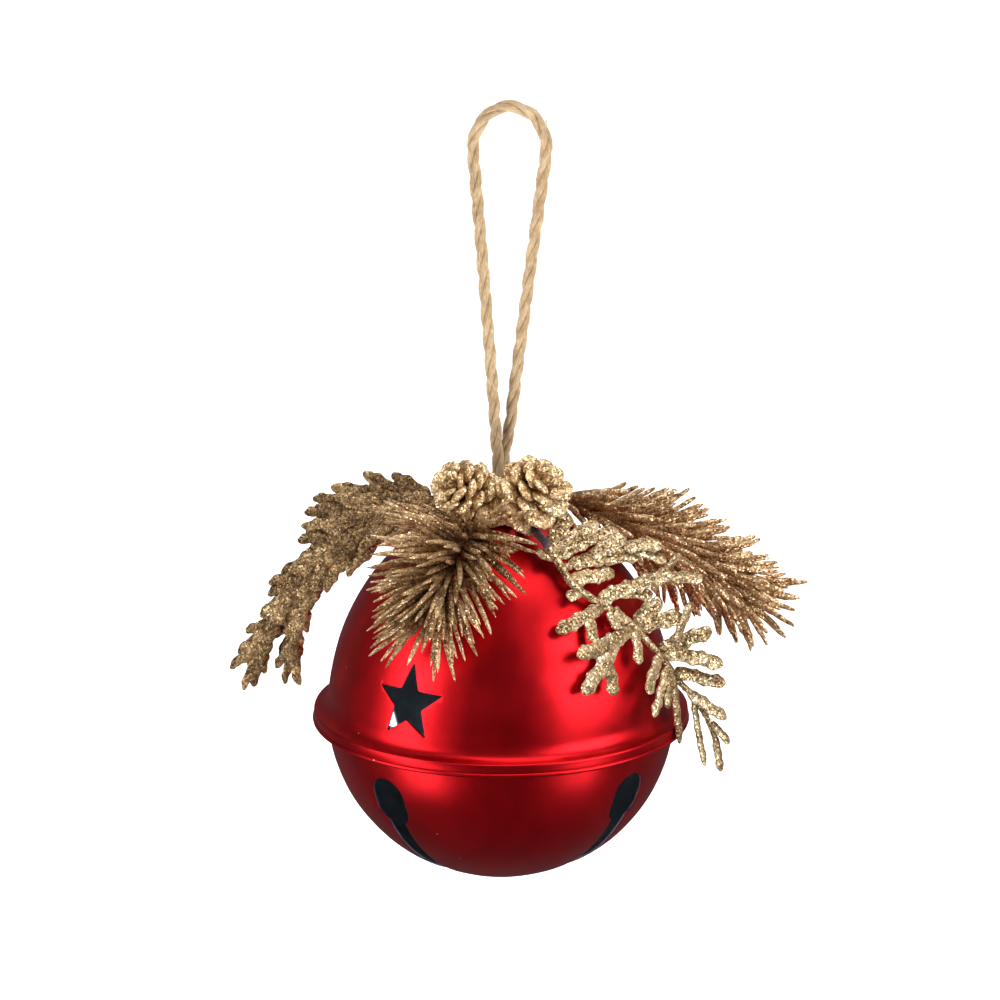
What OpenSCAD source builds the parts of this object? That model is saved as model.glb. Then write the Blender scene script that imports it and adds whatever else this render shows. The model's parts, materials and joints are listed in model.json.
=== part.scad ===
// Hanging bell ornament: a two-shell jingle bell on a twine loop, dressed with sprigs and cones.
// Millimetres, +Z up. The origin is the inside top of the twine loop, where the ornament hangs.

/* [Bell] */
// Outside diameter of the bell body
body_d = 92; // [70:1:120]
// Diameter over the bead at the seam
bead_d = 100; // [78:1:130]
// Height of the dome above the seam
dome_h = 55; // [42:1:72]
// Depth of the bowl below the seam
bowl_h = 44; // [34:1:58]
// Thickness of the pressed sheet
wall = 0.6; // [0.4:0.1:1]
// Height at which the dome wall starts to flare into the bead
flare_h = 6.5; // [5:0.5:9]
// Height of the skirt's shoulder above the seam
shoulder_h = 1.9; // [1.2:0.1:3]

/* [Star cut-outs] */
// How many stars stand round the dome
star_n = 3; // [1:1:6]
// Centre of each star to its tips
star_r = 10; // [6:0.5:13]
// Centre of each star to its inner corners
star_in_r = 4.2; // [2.5:0.1:6]
// Height of the star centres above the seam
star_h = 14.3; // [13:0.1:24]
// Bearing of the first star, from the front towards the right
star_turn = -32.4; // [-60:0.1:60]

/* [Keyhole slots] */
// Width of the wide end of each slot
port_d = 10.4; // [8:0.1:15]
// Length of the wide end of each slot
port_l = 14.4; // [8:0.1:18]
// Depth of the middle of the wide ends below the seam
port_drop = 14.4; // [10:0.1:18]
// Width of the narrow part of each slot
slot_w = 5.6; // [3:0.1:8]
// Bearing of the first slot, from the front towards the right
slot_turn = -41.5; // [-60:0.5:60]

/* [Clapper] */
// Diameter of the loose ball
ball_d = 18; // [14:0.5:24]
// Gap between the ball and the bottom of the bowl
ball_gap = 0.4; // [0.3:0.1:1]

/* [Eye and twine] */
// Wire diameter of the eye
eye_wire = 1.8; // [1.4:0.1:2.4]
// Distance between the two legs of the eye
eye_w = 9.2; // [8:0.2:12]
// Height of the eye's bar above the dome
eye_rise = 4.6; // [4:0.1:7]
// Diameter of the twine
twine_d = 3.5; // [2:0.1:5]
// Inside top of the twine loop down to the seam of the bell
hang_drop = 160; // [120:1:260]
// Distance between the two legs of the twine near the top
loop_w = 18.8; // [12:0.2:40]
// How far the bell hangs to the left of the top of the loop
lean = 2.2; // [0:0.1:4]

/* [Sprigs and cones] */
// Diameter of the taped stems
stem_d = 2.2; // [1.6:0.1:3]
// Length of the front pine needles
needle_l = 24; // [12:1:30]
// Thickness of a pine needle
needle_d = 1.6; // [0.8:0.1:2]
// Width of a cedar lobe
lobe_w = 3.2; // [2:0.1:4.5]
// Thickness of a cedar lobe
lobe_t = 1.4; // [1:0.1:2]
// Diameter of the right cone
cone_d = 15; // [10:0.5:18]
// Length of the right cone
cone_l = 18; // [12:0.5:22]

/* [Hidden] */

body_r = body_d / 2;
bead_r = bead_d / 2;
ledge_t = 2 * wall;
ledge_top = -0.5;
skirt_r = bead_r - 0.4;
turns = 72;
steps = 14;
cove_steps = 6;
port_lift = port_drop;
eye_r = eye_wire / 2;
bar_z = dome_h + eye_rise;
bend_r = 1.8;
foot_z = dome_h - 3;
foot_l = 5;
knot_gap = 0.7;
knot_bore_r = eye_r + knot_gap;
knot_r = eye_rise - 0.4;
knot_l = 6.4;
knot_top = bar_z + knot_r + 0.2;
neck_r = 3.6;
bind_r = 8.6;
bind_t = 2;
bind_z = dome_h + 1;
ball_z = -(bowl_h - wall - ball_gap - ball_d / 2);

// Places anything drawn in the bell's own frame, whose origin is the middle of the seam.
module in_bell() {
    translate([-lean, 0, -hang_drop]) children();
}

// Radius of an upright ellipse of half width a and half height b at height z.
function oval_r(a, b, z) = a * sqrt(max(0, 1 - (z / b) * (z / b)));

// Points of that ellipse from height z0 to height z1, both inside it.
function oval(a, b, z0, z1, n) =
    let (t0 = asin(z0 / b), t1 = asin(z1 / b))
    [for (i = [0:n]) let (t = t0 + (t1 - t0) * i / n) [a * cos(t), b * sin(t)]];

// A round rod from point a to point b.
module rod(a, b, d, fn) {
    v = b - a;
    translate(a)
        rotate([0, acos(v[2] / norm(v)), atan2(v[1], v[0])])
            cylinder(h = norm(v), d = d, $fn = fn);
}

// A bent rod through all the points. Each piece runs a little past its bends, to fill them.
module bent_rod(pts, d, fn) {
    n = len(pts) - 2;
    for (i = [0:n]) {
        v = unit(pts[i + 1] - pts[i]) * d * 0.3;
        rod(pts[i] - v * (i == 0 ? 0 : 1), pts[i + 1] + v * (i == n ? 0 : 1), d, fn);
    }
}

// A flat leaf from point a to point b, of width w, with its face turned towards direction face.
module lobe(a, b, w, face) {
    x = unit(b - a);
    y = unit(cross(face, x));
    z = cross(x, y);
    multmatrix([[x[0], y[0], z[0], a[0]], [x[1], y[1], z[1], a[1]], [x[2], y[2], z[2], a[2]],
                [0, 0, 0, 1]])
        leaf(norm(b - a), w);
}

// A leaf's flat shape along +X, its thickness centred on the plane.
module leaf(l, w) {
    translate([0, 0, -lobe_t / 2])
        linear_extrude(height = lobe_t)
            polygon([[-0.6, -w * 0.25], [l * 0.6, -w / 2], [l * 0.88, -w * 0.4], [l, -w * 0.12],
                     [l, w * 0.12], [l * 0.88, w * 0.4], [l * 0.6, w / 2], [-0.6, w * 0.25]]);
}

function unit(v) = v / norm(v);

// Outward direction of the dome under point p.
function outward(p) = unit([p[0] / (body_r * body_r), p[1] / (body_r * body_r),
                            p[2] / (dome_h * dome_h)]);

// A pine tip: a core through the points with needles all along it. They lean lean_a off the core
// at its foot and lean_b at its tip, and are spread round its outer side from -fan to +fan. A
// needle whose tip would pass the side or top limit is left out.
module pine(pts, core_d, rows, per_row, l, lean_a, lean_b, fan, side_limit, top_limit) {
    n = len(pts) - 1;
    bent_rod(pts, core_d, 10);
    for (k = [0:rows - 1]) {
        u = (k + 0.6) / rows * n;
        s = min(n - 1, floor(u));
        p = pts[s] + (pts[s + 1] - pts[s]) * (u - s);
        t = unit(pts[s + 1] - pts[s]);
        side = unit(cross(t, outward(p)));
        out = cross(side, t);
        lean_k = lean_a + (lean_b - lean_a) * u / n;
        for (j = [0:per_row - 1]) {
            f = -fan + 2 * fan * (j + (k % 2) / 2) / (per_row - 0.5);
            d = t * cos(lean_k) + (out * cos(f) + side * sin(f)) * sin(lean_k);
            end = p + d * l;
            if (end[0] < side_limit && end[2] + 0.28 * end[1] < top_limit)
                rod(p, end, needle_d, 6);
        }
    }
    tip = pts[n];
    back = unit(pts[n] - pts[n - 1]);
    rod(tip - back, tip + back * l * 0.7, needle_d * 1.2, 6);
}

// A cone of overlapping scale rows, its base at the origin and its tip along +Z.
module scaled_cone(d, l, rows) {
    function env(u) = d / 2 * sqrt(max(0.02, 1 - pow(abs(u * 2 - 0.84) / 1.17, 2.2)));
    rotate_extrude($fn = 24)
        polygon(concat([[0, 0]],
                       [for (i = [0:rows - 1], q = [0, 1])
                            let (u = (i + q * 0.85) / rows)
                            [env(u) * (q == 0 ? 0.78 : 1), l * u]],
                       [[0.6, l], [0, l]]));
}

// Frame whose +Z runs from a to b, placed at a.
module along(a, b) {
    v = b - a;
    translate(a) rotate([0, acos(v[2] / norm(v)), atan2(v[1], v[0])]) children();
}

// Routes of the sprigs, in the bell's own frame; they ride on the dome as its size changes.
kx = body_r / 46;
kz = dome_h / 55;
function ride(pts) = [for (p = pts) [p[0] * kx, p[1] * kx, p[2] * kz]];

pine_front_core = ride([[-3.7, -15.6, 57.9], [-8, -24, 55], [-12.5, -31.5, 49], [-17, -38, 40]]);
pine_front_run = ride([[-2.4, -6.9, 56.6], [-3, -11, 56.6], [-3.5, -15, 58], [-3.9, -16.5, 57.5]]);
pine_right_core = ride([[14, 6, 57], [27, 4.5, 52], [40, 5, 46], [53, 7, 38], [64, 8, 30]]);
pine_right_run = ride([[6.4, 3.3, 56.4], [10.5, 4.8, 56.6], [14, 6, 57], [16, 6.5, 56.5]]);
cedar_left_core = ride([[-15, 2, 57], [-19, 1.5, 57.5], [-28, 2, 56], [-39, 2, 54], [-45, 3, 48],
                        [-50, 4, 40.5], [-55.5, 4, 33], [-58.5, 4, 26], [-63, 4, 19],
                        [-66.5, 4, 10]]);
cedar_left_branch = ride([[-17, 1.7, 57.2], [-23, -2, 51.5], [-31, -3, 48], [-41, -2, 42.5],
                          [-48, 0, 36], [-52, 1, 30], [-54.5, 2, 22], [-56.5, 2, 12]]);
cedar_left_middle = ride([[-18, 1.6, 57.4], [-25, 0, 55], [-34, -1, 51], [-43, 0, 46],
                          [-50, 1, 38], [-54, 2, 31]]);
cedar_left_top = ride([[-17, 1.8, 57.3], [-24, 3, 58], [-33, 5, 58], [-42, 6, 55], [-48, 6, 50]]);
cedar_left_run = ride([[-7.2, 1.2, 56.4], [-11, 1.6, 56.6], [-15, 2, 57], [-17, 2.2, 57]]);
cedar_right_core = ride([[11, -22, 53], [15, -24.5, 47.5], [18.5, -28, 43], [24.5, -27.5, 38.5],
                         [32.5, -25, 32.5], [37.5, -22.5, 26.5], [42.5, -20, 20],
                         [46, -19, 14.5], [50, -19, 10], [53.5, -19, 4.5], [56.5, -19, -3]]);
cedar_right_branch = ride([[16, -24.5, 46.5], [23, -20.5, 47.5], [32, -19, 50], [39, -19, 50.5]]);
cedar_right_run = ride([[3.2, -6.6, 56.4], [6.5, -12.5, 55.6], [11, -22, 53], [12, -23.5, 51.7]]);

// Way that the lobes of the left spray face, towards the front and a little up and out.
left_face = unit([-0.35, -0.85, 0.4]);

// The right spray's lobes: where each leaves its rib, where it ends, its share of the full width.
cedar_right_lobes = [
    [[14, -23, 48.5], [9, -24, 50.5], 0.9], [[13.8, -23, 49.2], [24, -19, 54], 1.2],
    [[22, -20.8, 47.8], [32, -19, 53.5], 1.2], [[31, -19, 50.5], [41.5, -19, 52], 1.2],
    [[17, -23.5, 47.5], [27, -20, 47.5], 1.2], [[25, -20, 47.5], [36, -19, 48.5], 1.2],
    [[34, -19, 50], [42.5, -19, 47], 1.1], [[17.8, -26.8, 44.3], [29, -21, 43.5], 1.2],
    [[25, -27, 38.8], [34.5, -21, 41.5], 1.2], [[33, -21.5, 40.5], [44, -19, 43.5], 1.2],
    [[42, -19, 42], [52, -19, 43], 1.1], [[41, -19, 42], [46, -19, 49], 0.8],
    [[30, -22, 40], [39, -19, 37], 1.1], [[21, -27.5, 41], [16.5, -30.5, 41], 0.9],
    [[26, -28, 37], [14, -37.5, 33.5], 1.1], [[23, -31, 35], [23, -35.5, 30], 1],
    [[28, -27, 36], [29.5, -30, 31.5], 0.9], [[34, -24.8, 30.4], [19.5, -41, 26], 1.2],
    [[30, -29.4, 29], [21.5, -43, 18], 1.2], [[27, -34.5, 25], [29.5, -38.5, 17], 1.1],
    [[34.3, -24.4, 30.2], [36, -29, 22], 1], [[32, -25.5, 32], [29, -27, 36.5], 0.9],
    [[35, -23, 30.5], [47, -19, 32.5], 1.3], [[34, -23, 31.5], [42, -19.5, 36], 1.2],
    [[45, -20.5, 25], [49, -19, 36], 1.1], [[40.3, -21, 23.5], [55, -19, 27.5], 1.2],
    [[41, -20.5, 23], [58, -19, 19.5], 1.3], [[45, -19.5, 17.5], [58, -19, 12.5], 1.2],
    [[48.5, -19, 11.5], [58.5, -19, 3.5], 1.2], [[41.2, -21, 21.5], [36.5, -33, 16], 1.1],
    [[43, -20.3, 18.6], [40, -31.5, 8], 1], [[44.2, -20, 17.2], [43, -27.5, 9.5], 0.9],
    [[44.5, -20, 17.5], [46.5, -21.5, -2.5], 1], [[50, -19, 10], [52.5, -19, -9], 0.9],
    [[55, -19, 3], [59.5, -19, -3], 0.9], [[56, -19, -1], [57, -19, -10.5], 1.1]];

// The dome: wall, cove, shoulder and skirt in one pressing, with its stars and two wire holes.
module upper_shell() {
    cove_c = skirt_r - wall;
    cove_a = cove_c - oval_r(body_r, dome_h, flare_h);
    cove_b = flare_h - shoulder_h;
    in_a = cove_c - oval_r(body_r - wall, dome_h - wall, flare_h);
    outer = concat(
        oval(body_r, dome_h, dome_h, flare_h, steps),
        [for (i = [1:cove_steps]) let (t = 90 * i / cove_steps)
            [cove_c - cove_a * cos(t), flare_h - cove_b * sin(t)]],
        [for (i = [1:3]) let (t = 30 * i)
            [cove_c + wall * sin(t), shoulder_h - wall + wall * cos(t)]],
        [[skirt_r, ledge_top]]);
    inner = concat(
        [[cove_c, ledge_top]],
        [for (i = [cove_steps:-1:1]) let (t = 90 * i / cove_steps)
            [cove_c - in_a * cos(t), flare_h - (cove_b + wall) * sin(t)]],
        oval(body_r - wall, dome_h - wall, flare_h, dome_h - wall, steps));
    color([0.78, 0.07, 0.09])
        in_bell()
            difference() {
                rotate_extrude($fn = turns) polygon(concat(outer, inner));
                for (k = [0:star_n - 1])
                    rotate([0, 0, star_turn + 360 * k / star_n - 90])
                        translate([0, 0, star_h]) rotate([0, 90, 0]) rotate([0, 0, 180])
                            linear_extrude(height = body_r + 8)
                                polygon([for (i = [0:9])
                                    let (r = i % 2 == 0 ? star_r : star_in_r)
                                    [r * cos(36 * i), r * sin(36 * i)]]);
                for (s = [-1, 1])
                    translate([0, s * eye_w / 2, dome_h - 8])
                        cylinder(h = 16, d = eye_wire + 0.4, $fn = 24);
            }
}

// The bowl: hemmed ledge under the skirt, a spigot inside the dome, and four keyhole slots.
module lower_shell() {
    in_r = body_r - wall;
    in_h = dome_h - wall;
    sp_top = flare_h + 0.6;
    sp_gap = 0.12;
    profile = concat(
        [[0, -bowl_h]],
        [for (i = [1:steps]) let (t = 90 * (1 - i / steps) + asin(1.7 / bowl_h) * i / steps)
            [body_r * cos(t), -bowl_h * sin(t)]],
        [[bead_r - wall, ledge_top - ledge_t]],
        [for (i = [1:3]) let (t = 45 * i - 90)
            [bead_r - wall + wall * cos(t), ledge_top - wall + wall * sin(t)]],
        [[bead_r - wall, ledge_top]],
        [[oval_r(in_r, in_h, flare_h) - sp_gap, ledge_top]],
        [[oval_r(in_r, in_h, flare_h) - sp_gap, flare_h]],
        [[oval_r(in_r, in_h, sp_top) - sp_gap, sp_top]],
        [[oval_r(in_r, in_h, sp_top) - sp_gap - wall, sp_top]],
        [[oval_r(in_r, in_h, flare_h) - sp_gap - wall, flare_h]],
        [[oval_r(in_r, in_h, flare_h) - sp_gap - wall, ledge_top - ledge_t / 2]],
        [[in_r, -2.3]],
        [for (i = [1:steps]) let (t = asin(2.3 / bowl_h) + (90 - asin(2.3 / bowl_h)) * i / steps)
            [(body_r - wall) * cos(t), -(bowl_h - wall) * sin(t)]]);
    color([0.72, 0.06, 0.08])
        in_bell()
            difference() {
                rotate_extrude($fn = turns) polygon(profile);
                for (k = [0:3]) rotate([0, 0, slot_turn + 90 * k - 90]) {
                    translate([oval_r(body_r, bowl_h, port_drop), 0, -port_drop])
                        rotate([0, 105, 0]) translate([0, 0, -body_r * 0.4]) {
                            for (s = [-1, 1]) translate([s * (port_l - port_d) / 2, 0, 0])
                                cylinder(h = body_r * 0.7, d = port_d, $fn = 36);
                            translate([-(port_l - port_d) / 2, -port_d / 2, 0])
                                cube([port_l - port_d, port_d, body_r * 0.7]);
                        }
                    translate([0, -slot_w / 2, -bowl_h - 5])
                        cube([body_r + 5, slot_w, bowl_h + 5 - port_lift]);
                }
            }
}

// The loose steel ball, resting at the bottom of the bowl.
module clapper_ball() {
    color([0.62, 0.63, 0.65])
        in_bell() translate([0, 0, ball_z]) sphere(d = ball_d, $fn = 36);
}

// The wire eye: a bar, two legs through the dome and two feet bent outwards inside it.
module hanger_eye() {
    half = eye_w / 2;
    color([0.7, 0.66, 0.52])
        in_bell() {
            translate([0, -(half - bend_r), bar_z]) rotate([-90, 0, 0])
                cylinder(h = eye_w - 2 * bend_r, d = eye_wire, $fn = 20);
            for (s = [0, 180]) rotate([0, 0, s]) {
                translate([0, half - bend_r, bar_z - bend_r]) rotate([0, -90, 0])
                    rotate_extrude(angle = 90, $fn = 32)
                        translate([bend_r, 0]) circle(d = eye_wire, $fn = 20);
                translate([0, half, foot_z]) cylinder(h = bar_z - bend_r - foot_z, d = eye_wire,
                                                      $fn = 20);
                translate([0, half, foot_z]) sphere(d = eye_wire, $fn = 20);
                translate([0, half, foot_z]) rotate([-90, 0, 0])
                    cylinder(h = foot_l, d = eye_wire, $fn = 20);
            }
        }
}

// The knot: turns of twine round the eye's bar, and the neck that the two legs leave from.
module twine_knot() {
    color([0.72, 0.58, 0.4])
        in_bell()
            difference() {
                union() {
                    translate([0, -knot_l / 2, bar_z]) rotate([-90, 0, 0])
                        cylinder(h = knot_l, r = knot_r, $fn = 36);
                    translate([0, 0, bar_z + 2.4])
                        cylinder(h = knot_top - bar_z - 2.4, r = neck_r, $fn = 36);
                }
                translate([0, -knot_l, bar_z]) rotate([-90, 0, 0])
                    cylinder(h = knot_l * 2, r = knot_bore_r, $fn = 36);
            }
}

// Route of the twine from the knot, up the left leg, over the top and down the right leg.
half_loop = loop_w / 2;
leg_x = 0.7;
leg_y = 1.7;
top_z = twine_d / 2;
side_z = top_z - half_loop * 1.2;
low_z = knot_top - hang_drop;
rise = side_z - low_z;
twine_route = concat(
    [[-lean - leg_x, -leg_y, low_z], [-lean - leg_x, -leg_y, low_z + 3],
     [-lean - leg_x * 1.4, -leg_y * 0.95, low_z + rise * 0.08]],
    [for (i = [1:11]) let (u = 0.08 + 0.92 * i / 12)
        [-(lean + leg_x) + (lean + leg_x - half_loop) * pow(u, 1.15),
         -leg_y * pow(1 - u, 1.5), low_z + rise * u]],
    [for (i = [0:16]) let (t = 180 - 180 * i / 16)
        [half_loop * cos(t), 0, side_z + (top_z - side_z) * sin(t)]],
    [for (i = [11:-1:1]) let (u = 0.08 + 0.92 * i / 12)
        [(leg_x - lean) + (half_loop + lean - leg_x) * pow(u, 1.05),
         leg_y * pow(1 - u, 1.5), low_z + rise * u]],
    [[-lean + leg_x * 1.4, leg_y * 0.95, low_z + rise * 0.08],
     [-lean + leg_x, leg_y, low_z + 3], [-lean + leg_x, leg_y, low_z]]);

// Direction of the route at point i.
function run_at(i) = i == 0 || i == len(twine_route) - 1 ? (i == 0 ? [0, 0, 1] : [0, 0, -1])
    : unit(twine_route[i + 1] - twine_route[i - 1]);

// The twine loop: one tube swept along the route.
module twine_loop() {
    sides = 8;
    n = len(twine_route);
    rings = [for (i = [0:n - 1])
        let (t = run_at(i), a = unit(cross([0, 1, 0], t)), b = cross(t, a))
        for (k = [0:sides - 1])
            twine_route[i] + (a * cos(45 * k) + b * sin(45 * k)) * twine_d / 2];
    color([0.76, 0.62, 0.43])
        polyhedron(points = rings, faces = concat(
            [[for (k = [0:sides - 1]) k]],
            [[for (k = [sides - 1:-1:0]) (n - 1) * sides + k]],
            [for (i = [0:n - 2], k = [0:sides - 1])
                [i * sides + k, (i + 1) * sides + k, (i + 1) * sides + (k + 1) % sides,
                 i * sides + (k + 1) % sides]]));
}

// Every stem and stalk as one shape, to be cut out of the binding.
module all_stems(d) {
    bent_rod(pine_front_run, d, 10);
    bent_rod(pine_right_run, d, 10);
    bent_rod(cedar_left_run, d, 10);
    bent_rod(cedar_right_run, d, 10);
    bent_rod(left_stalk, d, 10);
    bent_rod(right_stalk, d, 10);
}

// The ring of floral tape round the eye that holds the stems down on the dome.
module stem_binding() {
    color([0.3, 0.2, 0.2])
        in_bell()
            difference() {
                rotate_extrude($fn = 48)
                    difference() {
                        translate([bind_r, bind_z]) circle(r = bind_t, $fn = 24);
                        polygon(concat(oval(body_r, dome_h, dome_h, dome_h * 0.9, 10), [[0, 0]]));
                    }
                all_stems(stem_d);
            }
}

left_cone_d = cone_d * 0.88;
left_cone_l = cone_l * 0.8;
left_axis = ride([[-4.6, -10.4, 60.2], [-13, -18.4, 67.2]]);
cone_shift = [cone_d * 0.5 - 6.7, 0, 0];
right_axis = [for (p = ride([[2.6, -10.6, 59], [9.5, -20, 67.5]])) p + cone_shift];
left_stalk = [ride([[-5.2, -5.6, 56.4]])[0], left_axis[0] + [0.6, 1.6, -1.2],
              left_axis[0] + unit(left_axis[1] - left_axis[0]) * 2];
right_stalk = [ride([[0.95, -6.9, 56.4]])[0], right_axis[0] + [-1.6, 1.4, -0.4],
               right_axis[0] + unit(right_axis[1] - right_axis[0]) * 2];

module pine_front_stem() {
    color([0.26, 0.17, 0.18]) in_bell() bent_rod(pine_front_run, stem_d, 10);
}

module pine_front_needles() {
    color([0.66, 0.53, 0.33])
        in_bell()
            difference() {
                pine(pine_front_core, 3.4, 9, 9, needle_l, 84, 30, 100, 10 * kx, 55 * kz);
                bent_rod(pine_front_run, stem_d, 10);
                along(left_axis[0], left_axis[1])
                    cylinder(h = left_cone_l, d = left_cone_d + 0.2, $fn = 24);
            }
}

module pine_right_stem() {
    color([0.26, 0.17, 0.18]) in_bell() bent_rod(pine_right_run, stem_d, 10);
}

module pine_right_needles() {
    color([0.6, 0.44, 0.28])
        in_bell()
            difference() {
                pine(pine_right_core, 3.4, 10, 7, needle_l * 0.76, 42, 32, 112, 100 * kx, 63 * kz);
                bent_rod(pine_right_run, stem_d, 10);
            }
}

module cedar_left_stem() {
    color([0.26, 0.17, 0.18]) in_bell() bent_rod(cedar_left_run, stem_d, 10);
}

// A rib through the points, a little thinner than its taped stem.
module rib(pts) {
    bent_rod(pts, stem_d * 0.85, 10);
}

// A rib with pairs of lobes of length l along it from share u0 on, spread off it by an angle.
module feathered(pts, pairs, u0, l, w, spread, face) {
    n = len(pts) - 1;
    rib(pts);
    for (k = [0:pairs - 1], s = [-1, 1]) {
        u = (u0 + (0.97 - u0) * (k + (s > 0 ? 0.25 : 0)) / (pairs - 0.75)) * n;
        i = min(n - 1, floor(u));
        p = pts[i] + (pts[i + 1] - pts[i]) * (u - i);
        t = unit(pts[i + 1] - pts[i]);
        side = unit(cross(face, t));
        lobe(p, p + (t * cos(spread) + side * s * sin(spread)) * l, w, face);
    }
    tip = pts[n];
    back = unit(pts[n] - pts[n - 1]);
    lobe(tip - back * l * 0.4, tip + back * l * 0.6, w * 0.9, face);
}

module cedar_left_fronds() {
    color([0.62, 0.5, 0.32])
        in_bell()
            difference() {
                union() {
                    feathered(cedar_left_core, 12, 0.1, lobe_w * 2.4, lobe_w * 1.25, 34, left_face);
                    feathered(cedar_left_branch, 8, 0.36, lobe_w * 2.2, lobe_w * 1.2, 34,
                              left_face);
                    feathered(cedar_left_middle, 6, 0.2, lobe_w * 2.6, lobe_w * 1.3, 34,
                              left_face);
                    feathered(cedar_left_top, 5, 0.2, lobe_w * 2.5, lobe_w * 1.3, 34, left_face);
                }
                bent_rod(cedar_left_run, stem_d, 10);
            }
}

module cedar_right_stem() {
    color([0.26, 0.17, 0.18]) in_bell() bent_rod(cedar_right_run, stem_d, 10);
}

module cedar_right_fronds() {
    color([0.74, 0.64, 0.44])
        in_bell()
            difference() {
                union() {
                    rib(cedar_right_core);
                    rib(cedar_right_branch);
                    for (q = cedar_right_lobes) {
                        a = ride([q[0]])[0];
                        lobe(a, ride([q[1]])[0], lobe_w * q[2], outward(a));
                    }
                }
                bent_rod(cedar_right_run, stem_d, 10);
            }
}

module cone_left_stalk() {
    color([0.26, 0.17, 0.18]) in_bell() bent_rod(left_stalk, stem_d, 10);
}

module cone_left() {
    color([0.7, 0.57, 0.37])
        in_bell()
            difference() {
                along(left_axis[0], left_axis[1]) scaled_cone(left_cone_d, left_cone_l, 6);
                bent_rod(left_stalk, stem_d, 10);
                bent_rod(pine_front_run, stem_d, 10);
            }
}

module cone_right_stalk() {
    color([0.26, 0.17, 0.18]) in_bell() bent_rod(right_stalk, stem_d, 10);
}

module cone_right() {
    color([0.74, 0.62, 0.42])
        in_bell()
            difference() {
                along(right_axis[0], right_axis[1]) scaled_cone(cone_d, cone_l, 6);
                bent_rod(right_stalk, stem_d, 10);
                bent_rod(cedar_right_run, stem_d, 10);
            }
}

upper_shell();
lower_shell();
clapper_ball();
hanger_eye();
twine_knot();
twine_loop();
stem_binding();
pine_front_stem();
pine_front_needles();
pine_right_stem();
pine_right_needles();
cedar_left_stem();
cedar_left_fronds();
cedar_right_stem();
cedar_right_fronds();
cone_left_stalk();
cone_left();
cone_right_stalk();
cone_right();
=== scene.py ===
"""Hanging bell ornament with sprigs and cones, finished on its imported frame. All in metres."""

import json
import logging
import math
import random
from collections.abc import Callable, Iterable, Sequence
from dataclasses import dataclass, field
from enum import Enum

import bpy
from mathutils import Matrix, Vector, noise


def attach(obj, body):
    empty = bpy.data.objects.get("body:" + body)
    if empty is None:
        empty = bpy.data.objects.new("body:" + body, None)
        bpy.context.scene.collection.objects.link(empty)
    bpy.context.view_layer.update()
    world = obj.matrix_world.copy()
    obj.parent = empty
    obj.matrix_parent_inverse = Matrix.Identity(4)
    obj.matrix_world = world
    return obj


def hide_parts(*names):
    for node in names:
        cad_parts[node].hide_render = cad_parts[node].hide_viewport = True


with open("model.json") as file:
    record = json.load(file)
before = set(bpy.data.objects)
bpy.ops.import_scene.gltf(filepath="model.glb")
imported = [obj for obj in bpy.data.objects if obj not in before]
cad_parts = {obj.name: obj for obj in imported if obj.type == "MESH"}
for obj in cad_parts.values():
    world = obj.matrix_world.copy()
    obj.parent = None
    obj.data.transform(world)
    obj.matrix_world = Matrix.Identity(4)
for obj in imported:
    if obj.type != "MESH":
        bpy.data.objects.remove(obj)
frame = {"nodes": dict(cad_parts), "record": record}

log = logging.getLogger("ornament")

MM = 0.001
Point = tuple[float, float, float]
JOINTS = {joint["name"]: joint for joint in frame["record"]["behaviour"]["joints"]}
SEAM = Vector(JOINTS["clapper_roll"]["pos_m"])
EYE_BAR = Vector(JOINTS["bell_swing"]["pos_m"])


class Rider(Enum):
    """The moving bodies that the finished pieces ride on."""

    TWINE = "twine"
    BELL = "bell"


# ---------------------------------------------------------------------------------------------
# Workbench: short calls for jobs that come back on every piece.
# ---------------------------------------------------------------------------------------------


def in_bell(x: float, y: float, z: float) -> Vector:
    """Return a point of the bell's own frame, given in millimetres from the seam's middle."""
    return SEAM + Vector((x, y, z)) * MM


def clear_selection() -> None:
    """Leave nothing selected and no mesh in edit mode."""
    if bpy.context.object and bpy.context.object.mode != "OBJECT":
        bpy.ops.object.mode_set(mode="OBJECT")
    bpy.ops.object.select_all(action="DESELECT")


def pick(pieces: Iterable[bpy.types.Object]) -> None:
    """Select the given pieces only, and make the first one active."""
    clear_selection()
    chosen = list(pieces)
    for piece in chosen:
        piece.select_set(True)
    bpy.context.view_layer.objects.active = chosen[0]


def edit(piece: bpy.types.Object, mode: str = "VERT") -> None:
    """Open one piece in edit mode with nothing selected."""
    pick([piece])
    bpy.ops.object.mode_set(mode="EDIT")
    bpy.ops.mesh.select_mode(type=mode)
    bpy.ops.mesh.select_all(action="DESELECT")


def choose(piece: bpy.types.Object, test: Callable[[Vector], bool]) -> None:
    """Select the vertices of a piece in edit mode whose place passes a test."""
    bpy.ops.object.mode_set(mode="OBJECT")
    for part in (piece.data.polygons, piece.data.edges):
        part.foreach_set("select", [False] * len(part))
    for vertex in piece.data.vertices:
        vertex.select = test(vertex.co)
    bpy.ops.object.mode_set(mode="EDIT")


def settle(piece: bpy.types.Object) -> None:
    """Move a piece's place, turn and size into its mesh."""
    pick([piece])
    bpy.ops.object.transform_apply(location=True, rotation=True, scale=True)


def apply_modifier(piece: bpy.types.Object, kind: str, **settings: object) -> None:
    """Add one modifier with its settings and apply it."""
    pick([piece])
    modifier = piece.modifiers.new(kind.title(), kind)
    for name, value in settings.items():
        setattr(modifier, name, value)
    bpy.ops.object.modifier_apply(modifier=modifier.name)


def point_outwards(piece: bpy.types.Object) -> None:
    """Merge doubled vertices and turn every face outwards."""
    edit(piece)
    bpy.ops.mesh.select_all(action="SELECT")
    bpy.ops.mesh.remove_doubles(threshold=1e-6)
    bpy.ops.mesh.normals_make_consistent(inside=False)
    bpy.ops.object.mode_set(mode="OBJECT")


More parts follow.
